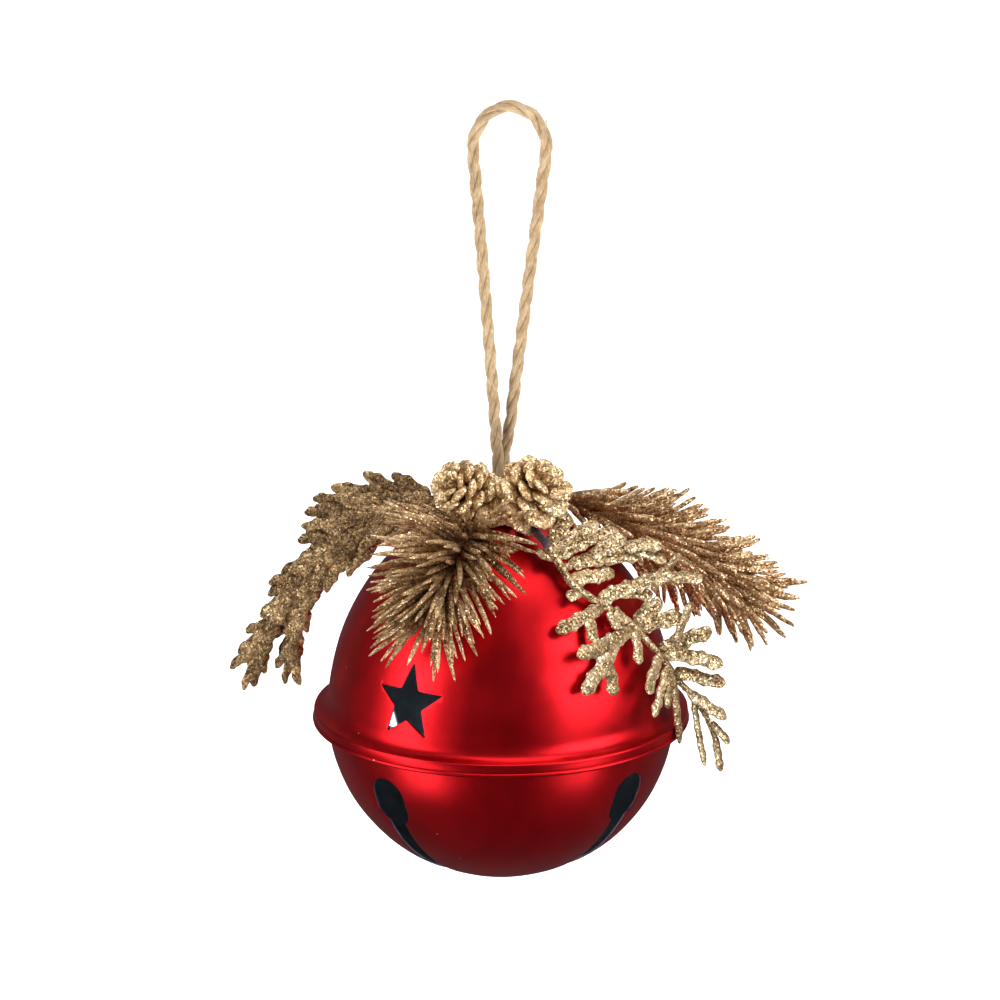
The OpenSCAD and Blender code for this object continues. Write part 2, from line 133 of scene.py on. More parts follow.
def smooth(piece: bpy.types.Object, crease_deg: float = 40) -> None:
    """Shade a piece smooth, with edges sharper than the crease angle left crisp."""
    pick([piece])
    bpy.ops.object.shade_smooth_by_angle(angle=math.radians(crease_deg))


def copy_to(piece: bpy.types.Object, place: Matrix) -> bpy.types.Object:
    """Copy a piece with its own mesh, placed by a matrix that goes into the mesh."""
    twin = piece.copy()
    twin.data = piece.data.copy()
    twin.data.transform(place)
    bpy.context.collection.objects.link(twin)
    return twin


def merge(pieces: Sequence[bpy.types.Object], name: str) -> bpy.types.Object:
    """Join pieces into one object with the given name."""
    pick(pieces)
    if len(pieces) > 1:
        bpy.ops.object.join()
    whole = bpy.context.object
    whole.name = name
    whole.data.name = name
    return whole


def remove(piece: bpy.types.Object) -> None:
    """Take a pattern piece out of the scene."""
    bpy.data.objects.remove(piece, do_unlink=True)


def aim(base: Vector, along: Vector, facing: Vector, size: Vector = Vector((1, 1, 1))) -> Matrix:
    """Place a shape drawn along +Z, with its +Y face turned to a side.

    Args:
        base: where the shape's origin goes.
        along: direction that the shape's +Z takes.
        facing: direction that its +Y leans to.
        size: its scale along its own X, Y and Z.

    Returns:
        The placing matrix.
    """
    z = along.normalized()
    x = facing.cross(z)
    x = x.normalized() if x.length > 1e-6 else z.orthogonal().normalized()
    y = z.cross(x)
    turn = Matrix((x, y, z)).transposed().to_4x4()
    return Matrix.Translation(base) @ turn @ Matrix.Diagonal((*size, 1))


def smooth_route(points: Sequence[Vector], spacing: float) -> list[Vector]:
    """Run a Catmull-Rom curve through points and step along it evenly.

    Args:
        points: the points that the curve goes through.
        spacing: the distance between the steps.

    Returns:
        The stepped points, with both ends.
    """
    ends = [2 * points[0] - points[1], *points, 2 * points[-1] - points[-2]]
    fine = []
    for a, b, c, d in zip(ends, ends[1:], ends[2:], ends[3:]):
        for k in range(12):
            t = k / 12
            fine.append(0.5 * (2 * b + (c - a) * t + (2 * a - 5 * b + 4 * c - d) * t * t
                               + (3 * b - a - 3 * c + d) * t ** 3))
    fine.append(points[-1].copy())
    run = [0.0]
    for a, b in zip(fine, fine[1:]):
        run.append(run[-1] + (b - a).length)
    count = max(2, round(run[-1] / spacing))
    route, i = [], 0
    for k in range(count + 1):
        want = run[-1] * k / count
        while i < len(run) - 2 and run[i + 1] < want:
            i += 1
        share = (want - run[i]) / max(run[i + 1] - run[i], 1e-9)
        route.append(fine[i].lerp(fine[i + 1], min(1.0, share)))
    return route


def tube(name: str, runs: Sequence[Sequence[Vector]], radius: float,
         swell: Callable[[float, int], float] = lambda share, k: 1.0,
         corners: int = 2) -> bpy.types.Object:
    """Sweep round tubes along runs of points, as one mesh with a UV map.

    Args:
        name: the piece's name.
        runs: one list of points for each tube.
        radius: the tubes' radius.
        swell: share of the radius at a share of the run's length, and at its k-th point.
        corners: the curve's bevel resolution.

    Returns:
        The mesh object.
    """
    curve = bpy.data.curves.new(name, "CURVE")
    curve.dimensions = "3D"
    curve.bevel_depth = radius
    curve.bevel_resolution = corners
    curve.use_fill_caps = True
    for points in runs:
        spline = curve.splines.new("POLY")
        spline.points.add(len(points) - 1)
        for k, (knot, place) in enumerate(zip(spline.points, points)):
            knot.co = (*place, 1)
            knot.radius = swell(k / (len(points) - 1), k)
    piece = bpy.data.objects.new(name, curve)
    bpy.context.collection.objects.link(piece)
    pick([piece])
    bpy.ops.object.convert(target="MESH")
    return bpy.context.object


def lathe(name: str, outline: Sequence[tuple[float, float]], turns: int) -> bpy.types.Object:
    """Extrude one vertex along an outline and spin the outline round the vertical axis.

    Args:
        name: the piece's name.
        outline: radius and height of each point, in metres.
        turns: steps of the full turn.

    Returns:
        The spun piece, centred on the origin.
    """
    clear_selection()
    bpy.ops.mesh.primitive_plane_add(size=MM)
    piece = bpy.context.object
    piece.name = name
    bpy.ops.object.mode_set(mode="EDIT")
    bpy.ops.mesh.merge(type="CENTER")
    bpy.ops.transform.translate(value=(outline[0][0], 0, outline[0][1]))
    for (r0, z0), (r1, z1) in zip(outline, outline[1:]):
        bpy.ops.mesh.extrude_region_move(
            TRANSFORM_OT_translate={"value": (r1 - r0, 0, z1 - z0)})
    bpy.ops.mesh.select_all(action="SELECT")
    bpy.ops.mesh.spin(steps=turns, angle=math.tau, center=(0, 0, 0), axis=(0, 0, 1))
    bpy.ops.object.mode_set(mode="OBJECT")
    point_outwards(piece)
    return piece


def cut(piece: bpy.types.Object, tool: bpy.types.Object) -> None:
    """Cut a closed tool out of a piece and take the tool away."""
    apply_modifier(piece, "BOOLEAN", object=tool, operation="DIFFERENCE", solver="EXACT")
    remove(tool)


def tell(piece: bpy.types.Object, rider: Rider, slot: str, *nodes: str) -> None:
    """Put a finished piece on its body and hide the imported nodes that it stands for."""
    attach(piece, rider.value)
    if nodes:
        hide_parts(*nodes)
    piece.data.calc_loop_triangles()
    log.info("%s: %d triangles on %s", piece.name, len(piece.data.loop_triangles), rider.value)


def paint_tone_and_shade(piece: bpy.types.Object, tone: Callable[[Vector], float]) -> None:
    """Store a value from 0 to 1 at every vertex, which the glitter finish reads: random tone
    together with painted shade and painted highlight.
    """
    layer = piece.data.attributes.get("tone") or piece.data.attributes.new(
        "tone", "FLOAT", "POINT")
    layer.data.foreach_set("value", [tone(vertex.co) for vertex in piece.data.vertices])


def roughen(piece: bpy.types.Object, depth: float, grain: float) -> None:
    """Push vertices in and out along their normals by noise of a given grain."""
    moved = [vertex.co + vertex.normal * depth * noise.noise(vertex.co / grain)
             for vertex in piece.data.vertices]
    for vertex, place in zip(piece.data.vertices, moved):
        vertex.co = place


# ---------------------------------------------------------------------------------------------
# Finishes
# ---------------------------------------------------------------------------------------------


class Graph:
    """A material's nodes, with short calls to add and join them."""

    def __init__(self, name: str) -> None:
        """Start a material with a shader and its output."""
        self.material = bpy.data.materials.new(name)
        self.material.use_nodes = True
        self.tree = self.material.node_tree
        self.tree.nodes.clear()
        self.shader = self.add("ShaderNodeBsdfPrincipled")
        output = self.add("ShaderNodeOutputMaterial")
        self.join(self.shader.outputs[0], output.inputs["Surface"])
        self.place = self.add("ShaderNodeTexCoord").outputs["Object"]

    def add(self, kind: str, **settings: object) -> bpy.types.Node:
        """Add a node and set its properties."""
        node = self.tree.nodes.new(kind)
        for name, value in settings.items():
            setattr(node, name, value)
        return node

    def join(self, start: bpy.types.NodeSocket, end: bpy.types.NodeSocket) -> None:
        """Join an output to an input."""
        self.tree.links.new(start, end)

    def set(self, **values: object) -> None:
        """Set the shader's own sockets, with underscores for spaces."""
        for name, value in values.items():
            self.shader.inputs[name.replace("_", " ")].default_value = value

    def drive(self, name: str, source: bpy.types.NodeSocket) -> None:
        """Join a source to one of the shader's sockets."""
        self.join(source, self.shader.inputs[name])

    def noise(self, scale: float, detail: float = 2, stretch: Point = (1, 1, 1),
              place: bpy.types.NodeSocket | None = None) -> bpy.types.NodeSocket:
        """Add a noise pattern and return its value."""
        mapping = self.add("ShaderNodeMapping")
        mapping.inputs["Scale"].default_value = stretch
        self.join(place or self.place, mapping.inputs["Vector"])
        pattern = self.add("ShaderNodeTexNoise")
        pattern.inputs["Scale"].default_value = scale
        pattern.inputs["Detail"].default_value = detail
        self.join(mapping.outputs[0], pattern.inputs["Vector"])
        return pattern.outputs["Fac"]

    def cells(self, size: float, feature: str = "F1") -> bpy.types.Node:
        """Add a pattern of cells of a given size in metres."""
        pattern = self.add("ShaderNodeTexVoronoi", feature=feature)
        pattern.inputs["Scale"].default_value = 1 / size
        self.join(self.place, pattern.inputs["Vector"])
        return pattern

    def ramp(self, source: bpy.types.NodeSocket,
             stops: Sequence[tuple[float, Point]]) -> bpy.types.NodeSocket:
        """Turn a value into colours at the given stops."""
        node = self.add("ShaderNodeValToRGB")
        band = node.color_ramp
        while len(band.elements) < len(stops):
            band.elements.new(0.5)
        for element, (at, colour) in zip(band.elements, stops):
            element.position = at
            element.color = (*colour, 1)
        self.join(source, node.inputs[0])
        return node.outputs["Color"]

    def range(self, source: bpy.types.NodeSocket, low: float, high: float,
              start: float = 0, end: float = 1) -> bpy.types.NodeSocket:
        """Rescale a value from start..end to low..high."""
        node = self.add("ShaderNodeMapRange")
        for name, value in (("From Min", start), ("From Max", end), ("To Min", low),
                            ("To Max", high)):
            node.inputs[name].default_value = value
        self.join(source, node.inputs["Value"])
        return node.outputs[0]

    def mix(self, share: bpy.types.NodeSocket | float, first: object, second: object,
            blend: str = "MIX") -> bpy.types.NodeSocket:
        """Mix two colours, each a socket or a plain colour."""
        node = self.add("ShaderNodeMix", data_type="RGBA", blend_type=blend)
        for value, socket in ((share, node.inputs[0]), (first, node.inputs[6]),
                              (second, node.inputs[7])):
            if isinstance(value, bpy.types.NodeSocket):
                self.join(value, socket)
            elif isinstance(value, (int, float)):
                socket.default_value = value
            else:
                socket.default_value = (*value, 1)
        return node.outputs[2]

    def bump(self, height: bpy.types.NodeSocket, depth: float, strength: float = 1,
             under: bpy.types.NodeSocket | None = None) -> bpy.types.NodeSocket:
        """Turn a height pattern into a normal, over an earlier normal."""
        node = self.add("ShaderNodeBump")
        node.inputs["Strength"].default_value = strength
        node.inputs["Distance"].default_value = depth
        self.join(height, node.inputs["Height"])
        if under:
            self.join(under, node.inputs["Normal"])
        return node.outputs[0]


@dataclass(frozen=True)
class SatinLacquer:
    """Translucent red lacquer over pressed metal: satin, finely grained, with a few specks."""

    colour: Point = (0.68, 0.006, 0.012)
    shade: Point = (0.5, 0.002, 0.006)
    grain: float = 0.16 * MM

    def build(self) -> bpy.types.Material:
        """Return the finish as a material."""
        g = Graph("satin_red_lacquer")
        cloud = g.noise(55, 3)
        base = g.mix(g.range(cloud, 0, 1, 0.35, 0.7), self.colour, self.shade)
        specks = g.cells(11 * MM)
        dot = g.range(specks.outputs["Distance"], 1, 0, 0.012, 0.022)
        g.drive("Base Color", g.mix(dot, base, (0.9, 0.75, 0.72)))
        g.drive("Roughness", g.range(g.noise(130, 4), 0.31, 0.4, 0.3, 0.7))
        fine = g.bump(g.noise(1 / self.grain, 1), 0.004 * MM, 0.5)
        g.drive("Normal", g.bump(g.noise(420, 3), 0.012 * MM, 0.35, fine))
        g.set(Metallic=0.97, Coat_Weight=0.14, Coat_Roughness=0.32, Coat_IOR=1.45)
        return g.material


@dataclass(frozen=True)
class BareSheet:
    """The unpainted blue-grey inside of the pressed shells."""

    light: Point = (0.15, 0.19, 0.24)
    dark: Point = (0.08, 0.105, 0.135)

    def build(self) -> bpy.types.Material:
        """Return the finish as a material."""
        g = Graph("bare_sheet")
        g.drive("Base Color", g.ramp(g.noise(90, 5), ((0.35, self.dark), (0.65, self.light))))
        g.drive("Roughness", g.range(g.noise(300, 4), 0.38, 0.6))
        g.drive("Normal", g.bump(g.noise(900, 3, (1, 1, 0.05)), 0.01 * MM, 0.5))
        g.set(Metallic=0.6)
        return g.material


@dataclass(frozen=True)
class Glitter:
    """Fine metal flakes glued over plastic or wood, each flake tilted its own way, lightened and
    darkened by a stored per-vertex value that holds random tone, painted shade and painted
    highlight.
    """

    name: str
    deep: Point
    mid: Point
    bright: Point
    flake: float = 0.4 * MM
    tilt: float = 1.1
    patch: float = 0.2

    def build(self) -> bpy.types.Material:
        """Return the finish as a material."""
        g = Graph(self.name)
        flakes = g.cells(self.flake)
        parts = g.add("ShaderNodeSeparateColor")
        g.join(flakes.outputs["Color"], parts.inputs[0])
        patches = g.range(g.noise(420, 3), -self.patch, self.patch, 0.3, 0.7)
        # per-vertex value from the pieces: random tone plus painted shade at needle feet, lobe
        # middles and cone scale roots, and painted highlight at tips and rims
        tone = g.add("ShaderNodeAttribute", attribute_name="tone").outputs["Fac"]
        lift = g.add("ShaderNodeMath", operation="ADD")
        g.join(patches, lift.inputs[0])
        g.join(g.range(tone, -0.34, 0.3), lift.inputs[1])
        value = g.add("ShaderNodeMath", operation="ADD")
        g.join(g.range(parts.outputs[0], 0.18, 0.82), value.inputs[0])
        g.join(lift.outputs[0], value.inputs[1])
        g.drive("Base Color", g.ramp(value.outputs[0], (
            (0.05, self.deep), (0.45, self.mid), (0.95, self.bright))))
        lean = g.add("ShaderNodeVectorMath", operation="SUBTRACT")
        g.join(flakes.outputs["Color"], lean.inputs[0])
        lean.inputs[1].default_value = (0.5, 0.5, 0.5)
        size = g.add("ShaderNodeVectorMath", operation="SCALE")
        g.join(lean.outputs[0], size.inputs[0])
        size.inputs["Scale"].default_value = self.tilt
        tilted = g.add("ShaderNodeVectorMath", operation="ADD")
        g.join(g.add("ShaderNodeNewGeometry").outputs["Normal"], tilted.inputs[0])
        g.join(size.outputs[0], tilted.inputs[1])
        level = g.add("ShaderNodeVectorMath", operation="NORMALIZE")
        g.join(tilted.outputs[0], level.inputs[0])
        g.drive("Normal", g.bump(flakes.outputs["Distance"], 0.1 * MM, 0.4, level.outputs[0]))
        g.drive("Roughness", g.range(parts.outputs[1], 0.26, 0.5))
        g.set(Metallic=0.78)
        return g.material


@dataclass(frozen=True)
class Jute:
    """Plied natural jute: fibres along each strand, in patches of random tone, with painted
    highlight on the raised fibres and painted shade between them.
    """

    dark: Point = (0.14, 0.08, 0.036)
    mid: Point = (0.37, 0.245, 0.125)
    pale: Point = (0.63, 0.48, 0.3)

    def build(self) -> bpy.types.Material:
        """Return the finish as a material."""
        g = Graph("natural_jute")
        uv = g.add("ShaderNodeUVMap").outputs[0]
        fibres = g.noise(1, 4, (160, 22, 1), uv)
        patches = g.noise(260, 2)
        # the fibre noise drives both the bump and the colour, so raised fibres are painted paler
        # and the grooves between them darker: painted highlight and painted shade; the patches are
        # random tone
        blend = g.add("ShaderNodeMath", operation="MULTIPLY_ADD")
        g.join(patches, blend.inputs[0])
        blend.inputs[1].default_value = 0.55
        g.join(g.range(fibres, -0.2, 0.75), blend.inputs[2])
        g.drive("Base Color", g.ramp(blend.outputs[0], (
            (0.2, self.dark), (0.5, self.mid), (0.85, self.pale))))
        g.drive("Normal", g.bump(fibres, 0.12 * MM, 0.8))
        g.set(Roughness=0.82, Sheen_Weight=0.25, Sheen_Roughness=0.5)
        return g.material


@dataclass(frozen=True)
class FloralTape:
    """Stretched waxy tape in a dark purple-brown, with fine creases that are painted darker:
    painted shade.
    """

    dark: Point = (0.022, 0.01, 0.016)
    light: Point = (0.085, 0.04, 0.055)

    def build(self) -> bpy.types.Material:
        """Return the finish as a material."""
        g = Graph("floral_tape")
        creases = g.noise(700, 4, (1, 1, 2.5))
        # the crease noise drives both the bump and the colour, so the creases are painted darker
        # and the raised folds lighter: painted shade and painted highlight
        g.drive("Base Color", g.ramp(creases, ((0.35, self.dark), (0.7, self.light))))
        g.drive("Roughness", g.range(creases, 0.4, 0.62))
        g.drive("Normal", g.bump(creases, 0.15 * MM, 0.8))
        g.set(Sheen_Weight=0.2)
        return g.material


@dataclass(frozen=True)
class PlainMetal:
    """Bare or plated metal with fine scratches."""

    name: str
    colour: Point
    roughness: float

    def build(self) -> bpy.types.Material:
        """Return the finish as a material."""
        g = Graph(self.name)
        cloud = g.noise(240, 4)
        darker = tuple(part * 0.7 for part in self.colour)
        g.drive("Base Color", g.mix(g.range(cloud, 0, 1, 0.3, 0.7), self.colour, darker))
        g.drive("Roughness", g.range(g.noise(1500, 3, (1, 1, 0.1)), self.roughness * 0.7,
                                     self.roughness * 1.4))
        g.drive("Normal", g.bump(g.noise(2600, 2, (1, 0.1, 1)), 0.004 * MM, 0.4))
        g.set(Metallic=1.0)
        return g.material


@dataclass(frozen=True)
class Paper:
    """The pale floor."""

    colour: Point = (0.86, 0.86, 0.86)

    def build(self) -> bpy.types.Material:
        """Return the finish as a material."""
        g = Graph("pale_floor")
        g.set(Base_Color=(*self.colour, 1), Roughness=0.95)
        return g.material


@dataclass(frozen=True)
class Finishes:
    """Every finish of the ornament, built once."""

    lacquer: bpy.types.Material
    sheet: bpy.types.Material
    gold: bpy.types.Material
    bronze: bpy.types.Material
    copper: bpy.types.Material
    champagne: bpy.types.Material
    cone: bpy.types.Material
    jute: bpy.types.Material
    tape: bpy.types.Material
    steel: bpy.types.Material
    wire: bpy.types.Material

    @classmethod
    def mixed(cls) -> "Finishes":
        """Mix all the finishes."""
        return cls(
            lacquer=SatinLacquer().build(),
            sheet=BareSheet().build(),
            gold=Glitter("gold_glitter", (0.13, 0.065, 0.027), (0.52, 0.32, 0.15),
                         (0.98, 0.76, 0.47)).build(),
            bronze=Glitter("bronze_glitter", (0.09, 0.048, 0.02), (0.32, 0.2, 0.09),
                           (0.64, 0.46, 0.25), patch=0.2).build(),
            copper=Glitter("copper_glitter", (0.24, 0.115, 0.05), (0.6, 0.36, 0.17),
                           (0.97, 0.71, 0.43), patch=0.14).build(),
            champagne=Glitter("champagne_glitter", (0.2, 0.12, 0.055), (0.58, 0.41, 0.22),
                              (0.95, 0.8, 0.54), patch=0.18).build(),
            cone=Glitter("cone_glitter", (0.18, 0.09, 0.035), (0.56, 0.34, 0.15),
                         (0.96, 0.75, 0.45), patch=0.24).build(),
            jute=Jute().build(),
            tape=FloralTape().build(),
            steel=PlainMetal("ball_steel", (0.6, 0.61, 0.63), 0.22).build(),
            wire=PlainMetal("eye_wire", (0.66, 0.58, 0.4), 0.3).build(),
        )


# ---------------------------------------------------------------------------------------------
# Twine
# ---------------------------------------------------------------------------------------------


@dataclass
class TwineLoop:
    """Three-ply jute twine from the knot, over the hook and back to the knot."""

    diameter: float = 3.5
    loop_width: float = 18.8
    leg_x: float = 0.7
    leg_y: float = 1.7
    knot_rise: float = 4.4
    lay: float = 20.0
    plies: int = 3
    ply_share: float = 0.235
    offset_share: float = 0.24
    fibres: int = 1100
    spacing: float = 0.7
    rng: random.Random = field(default_factory=lambda: random.Random(11))

    def route(self) -> list[Vector]:
        """Return the points that the twine follows, in metres."""
        lean, half = -SEAM.x / MM, self.loop_width / 2
        top = self.diameter / 2
        side = top - half * 1.2
        low = EYE_BAR.z / MM + self.knot_rise
        rise = side - low
        shares = [0.08 + 0.92 * i / 12 for i in range(1, 12)]
        left = [(-lean - self.leg_x + (lean + self.leg_x - half) * u ** 1.15,
                 -self.leg_y * (1 - u) ** 1.5, low + rise * u) for u in shares]
        right = [(self.leg_x - lean + (half + lean - self.leg_x) * u ** 1.05,
                  self.leg_y * (1 - u) ** 1.5, low + rise * u) for u in reversed(shares)]
        arc = [(half * math.cos(t), 0, side + (top - side) * math.sin(t))
               for t in (math.pi * (1 - i / 16) for i in range(17))]
        foot = [(-lean - self.leg_x, -self.leg_y, low),
                (-lean - self.leg_x, -self.leg_y, low + 3),
                (-lean - self.leg_x * 1.4, -self.leg_y * 0.95, low + rise * 0.08)]
        heel = [(-lean + self.leg_x * 1.4, self.leg_y * 0.95, low + rise * 0.08),
                (-lean + self.leg_x, self.leg_y, low + 3),
                (-lean + self.leg_x, self.leg_y, low)]
        return [Vector(p) * MM for p in (*foot, *left, *arc, *right, *heel)]

    def ply_runs(self, centre: Sequence[Vector], offset: float) -> list[list[Vector]]:
        """Wind the plies round a centre line."""
        runs: list[list[Vector]] = [[] for _ in range(self.plies)]
        travelled = 0.0
        for k, place in enumerate(centre):
            ahead = centre[min(k + 1, len(centre) - 1)] - centre[max(k - 1, 0)]
            side = Vector((0, 1, 0)).cross(ahead).normalized()
            other = ahead.cross(side).normalized()
            if k:
                travelled += (place - centre[k - 1]).length
            for ply, run in enumerate(runs):
                turn = math.tau * (travelled / (self.lay * MM) + ply / self.plies)
                run.append(place + (side * math.cos(turn) + other * math.sin(turn)) * offset)
        return runs

    def fuzz(self, centre: Sequence[Vector]) -> bpy.types.Object:
        """Stand loose fibres off the plies, thin and curling back along the twine."""
        runs = []
        for _ in range(self.fibres):
            k = self.rng.randrange(2, len(centre) - 3)
            along = (centre[k + 1] - centre[k - 1]).normalized()
            out = along.orthogonal().normalized()
            out.rotate(Matrix.Rotation(self.rng.uniform(0, math.tau), 3, along))
            drift = along.cross(out) * self.rng.uniform(-1, 1)
            sign = self.rng.choice((-1, 1))
            length = self.rng.uniform(1.2, 3.6) * MM
            rise = self.rng.uniform(0.15, 1.0) ** 1.6 * 1.9 * MM
            start = centre[k] + out * 1.45 * MM
            runs.append([start + along * sign * length * t + out * rise * t * (1.6 - 0.6 * t)
                         + drift * 0.9 * MM * t * t for t in (0, 0.3, 0.6, 0.85, 1)])
        return tube("twine_fuzz", runs, 0.032 * MM, lambda share, k: 1 - 0.7 * share, 0)

    def build(self, finishes: Finishes) -> None:
        route = self.route()
        centre = smooth_route(route, self.spacing * MM)
        ply_radius = self.diameter * self.ply_share * MM
        offset = self.diameter * self.offset_share * MM
        lumps = [self.rng.uniform(0.93, 1.07) for _ in range(len(centre) + 1)]
        plies = tube("twine_plies", self.ply_runs(centre, offset), ply_radius,
                     lambda share, k: (lumps[k] + lumps[k + 1]) / 2, 3)
        loop = merge([plies, self.fuzz(centre)], "jute_loop")
        loop.data.materials.clear()
        loop.data.materials.append(finishes.jute)
        smooth(loop, 60)
        tell(loop, Rider.TWINE, "jute", "twine_loop")
        knot = self.build_knot(finishes)
        length = sum((b - a).length for a, b in zip(centre, centre[1:]))
        tuple(route[0])
        [tuple(p) for p in route]

    def build_knot(self, finishes: Finishes) -> bpy.types.Object:
        """Wind the knot: turns of plied twine round the eye's bar and a wrap at the neck."""
        bar = EYE_BAR
        turns = []
        coil_r, pitch = 2.75 * MM, 2.1 * MM
        count = 3
        for k in range(count * 28 + 1):
            t = k / 28
            angle = math.tau * t - math.pi / 2
            y = (t - count / 2) * pitch
            turns.append(bar + Vector((coil_r * math.cos(angle), y, coil_r * math.sin(angle))))
        neck = []
        for k in range(2 * 28 + 1):
            t = k / 28
            angle = math.tau * t
            neck.append(bar + Vector((2.45 * MM * math.cos(angle), 2.45 * MM * math.sin(angle),
                                      (3.1 + 0.9 * t) * MM)))
        runs = [*self.ply_runs(smooth_route(turns, self.spacing * MM), 0.52 * MM),
                *self.ply_runs(smooth_route(neck, self.spacing * MM), 0.5 * MM)]
        wound = tube("wound", runs, 0.62 * MM, corners=2)
        knot = merge([wound], "jute_knot")
        knot.data.materials.clear()
        knot.data.materials.append(finishes.jute)
        smooth(knot, 60)
        tell(knot, Rider.TWINE, "jute", "twine_knot")
        return knot


# ---------------------------------------------------------------------------------------------
# Bell
# ---------------------------------------------------------------------------------------------


@dataclass
class BellShells:
    """The two pressed shells, their stars and their keyhole slots. Sizes in millimetres."""

    body_r: float = 46.0
    bead_r: float = 50.0
    dome_h: float = 55.0
    bowl_h: float = 44.0
    wall: float = 0.6
    flare_h: float = 6.5
    shoulder_h: float = 1.9
    skirt_gap: float = 0.4
    ledge_top: float = -0.5
    spigot_rise: float = 0.6
    spigot_gap: float = 0.12
    star_r: float = 10.0
    star_in_r: float = 4.2
    star_h: float = 14.3
    star_turn: float = -32.4
    star_count: int = 3
    port_d: float = 10.4
    port_l: float = 14.4
    port_drop: float = 14.4
    port_lean: float = 105.0
    slot_w: float = 5.6
    slot_turn: float = -41.5
    slot_count: int = 4
    wire_hole_y: float = 4.6
    wire_hole_r: float = 1.1
    turns: int = 240
    steps: int = 44

    def oval(self, a: float, b: float, z0: float, z1: float) -> list[tuple[float, float]]:
        """Return points of an upright ellipse from height z0 to z1."""
        t0, t1 = math.asin(z0 / b), math.asin(z1 / b)
        return [(a * math.cos(t0 + (t1 - t0) * i / self.steps),
                 b * math.sin(t0 + (t1 - t0) * i / self.steps)) for i in range(self.steps + 1)]

    def dome_outline(self) -> list[tuple[float, float]]:
        """Return the dome's closed outline: wall, cove, shoulder and skirt, then back inside."""
        edge = self.bead_r - self.skirt_gap
        cove = edge - self.wall
        inner_a, inner_b = self.body_r - self.wall, self.dome_h - self.wall
        start = self.body_r * math.sqrt(1 - (self.flare_h / self.dome_h) ** 2)
        start_in = inner_a * math.sqrt(1 - (self.flare_h / inner_b) ** 2)
        deep = self.flare_h - self.shoulder_h
        arcs = [math.pi / 2 * i / 10 for i in range(1, 11)]
        outer = self.oval(self.body_r, self.dome_h, self.dome_h, self.flare_h)
        outer += [(cove - (cove - start) * math.cos(t), self.flare_h - deep * math.sin(t))
                  for t in arcs]
        outer += [(cove + self.wall * math.sin(t), self.shoulder_h - self.wall
                   + self.wall * math.cos(t)) for t in (math.pi / 10 * i for i in range(1, 6))]
        outer += [(edge, self.ledge_top)]
        inner = [(cove, self.ledge_top)]
        inner += [(cove - (cove - start_in) * math.cos(t),
                   self.flare_h - (deep + self.wall) * math.sin(t)) for t in reversed(arcs)]
        inner += self.oval(inner_a, inner_b, self.flare_h, inner_b)
        return [(max(r, 0) * MM, z * MM) for r, z in outer + inner]

    def bowl_outline(self) -> list[tuple[float, float]]:
        """Return the bowl's closed outline: wall, hemmed ledge and spigot, then back inside."""
        inner_a, inner_h = self.body_r - self.wall, self.dome_h - self.wall
        hem = self.bead_r - self.wall
        outer = self.oval(self.body_r, self.bowl_h, -self.bowl_h, -1.7)
        outer += [(hem, -1.7)]
        outer += [(hem + self.wall * math.cos(t), -1.1 + self.wall * math.sin(t))
                  for t in (math.pi * (i / 8 - 0.5) for i in range(1, 8))]
        outer += [(hem, self.ledge_top)]
        top = self.flare_h + self.spigot_rise
        spigot = [(inner_a * math.sqrt(1 - (max(z, self.flare_h) / inner_h) ** 2)
                   - self.spigot_gap, z) for z in (self.ledge_top, self.flare_h, top)]
        back = [(r - self.wall, z) for r, z in reversed(spigot[1:])]
        back += [(back[-1][0], self.ledge_top - self.wall)]
        inner = [(r, -z) for r, z in self.oval(inner_a, self.bowl_h - self.wall, 2.3,
                                               self.bowl_h - self.wall)]
        return [(max(r, 0) * MM, z * MM) for r, z in outer + spigot + back + inner]

    def star_punch(self, turn: float) -> bpy.types.Object:
        """Shape one star punch, its tips a little rounded, and turn it to its bearing."""
        clear_selection()
        bpy.ops.mesh.primitive_circle_add(vertices=10, radius=self.star_r * MM,
                                          fill_type="NGON")
        punch = bpy.context.object
        edit(punch)
        choose(punch, lambda p: round(math.degrees(math.atan2(-p.x, p.y)) / 36) % 2 == 1)
        share = self.star_in_r / self.star_r
        bpy.ops.transform.resize(value=(share, share, 1), center_override=(0, 0, 0))
        bpy.ops.mesh.select_all(action="SELECT")
        bpy.ops.mesh.bevel(offset=0.45 * MM, segments=3, affect="VERTICES")
        bpy.ops.mesh.select_all(action="SELECT")
        bpy.ops.mesh.extrude_region_move(TRANSFORM_OT_translate={"value": (0, 0, 60 * MM)})
        bpy.ops.object.mode_set(mode="OBJECT")
        point_outwards(punch)
        bearing = math.radians(turn - 90)
        punch.data.transform(
            Matrix.Translation((0, 0, self.star_h * MM)) @ Matrix.Rotation(bearing, 4, "Z")
            @ Matrix.Rotation(math.pi / 2, 4, "Y") @ Matrix.Rotation(math.pi / 2, 4, "Z"))
        return punch

    def port_punch(self, turn: float) -> bpy.types.Object:
        """Shape the punch for the wide end of one keyhole, with both its ends round."""
        clear_selection()
        bpy.ops.mesh.primitive_cylinder_add(vertices=72, radius=self.port_d / 2 * MM,
                                            depth=self.body_r * 0.7 * MM)
        port = bpy.context.object
        edit(port)
        reach = (self.port_l - self.port_d) / 2 * MM
        for side in (-1, 1):
            choose(port, lambda p, s=side: p.x * s > 0.01 * MM)
            bpy.ops.transform.translate(value=(side * reach, 0, 0))
        bpy.ops.object.mode_set(mode="OBJECT")
        wall_r = self.body_r * math.sqrt(1 - (self.port_drop / self.bowl_h) ** 2)
        port.data.transform(
            Matrix.Rotation(math.radians(turn - 90), 4, "Z")
            @ Matrix.Translation((wall_r * MM, 0, -self.port_drop * MM))
            @ Matrix.Rotation(math.radians(self.port_lean), 4, "Y")
            @ Matrix.Translation((0, 0, -self.body_r * 0.05 * MM)))
        return port

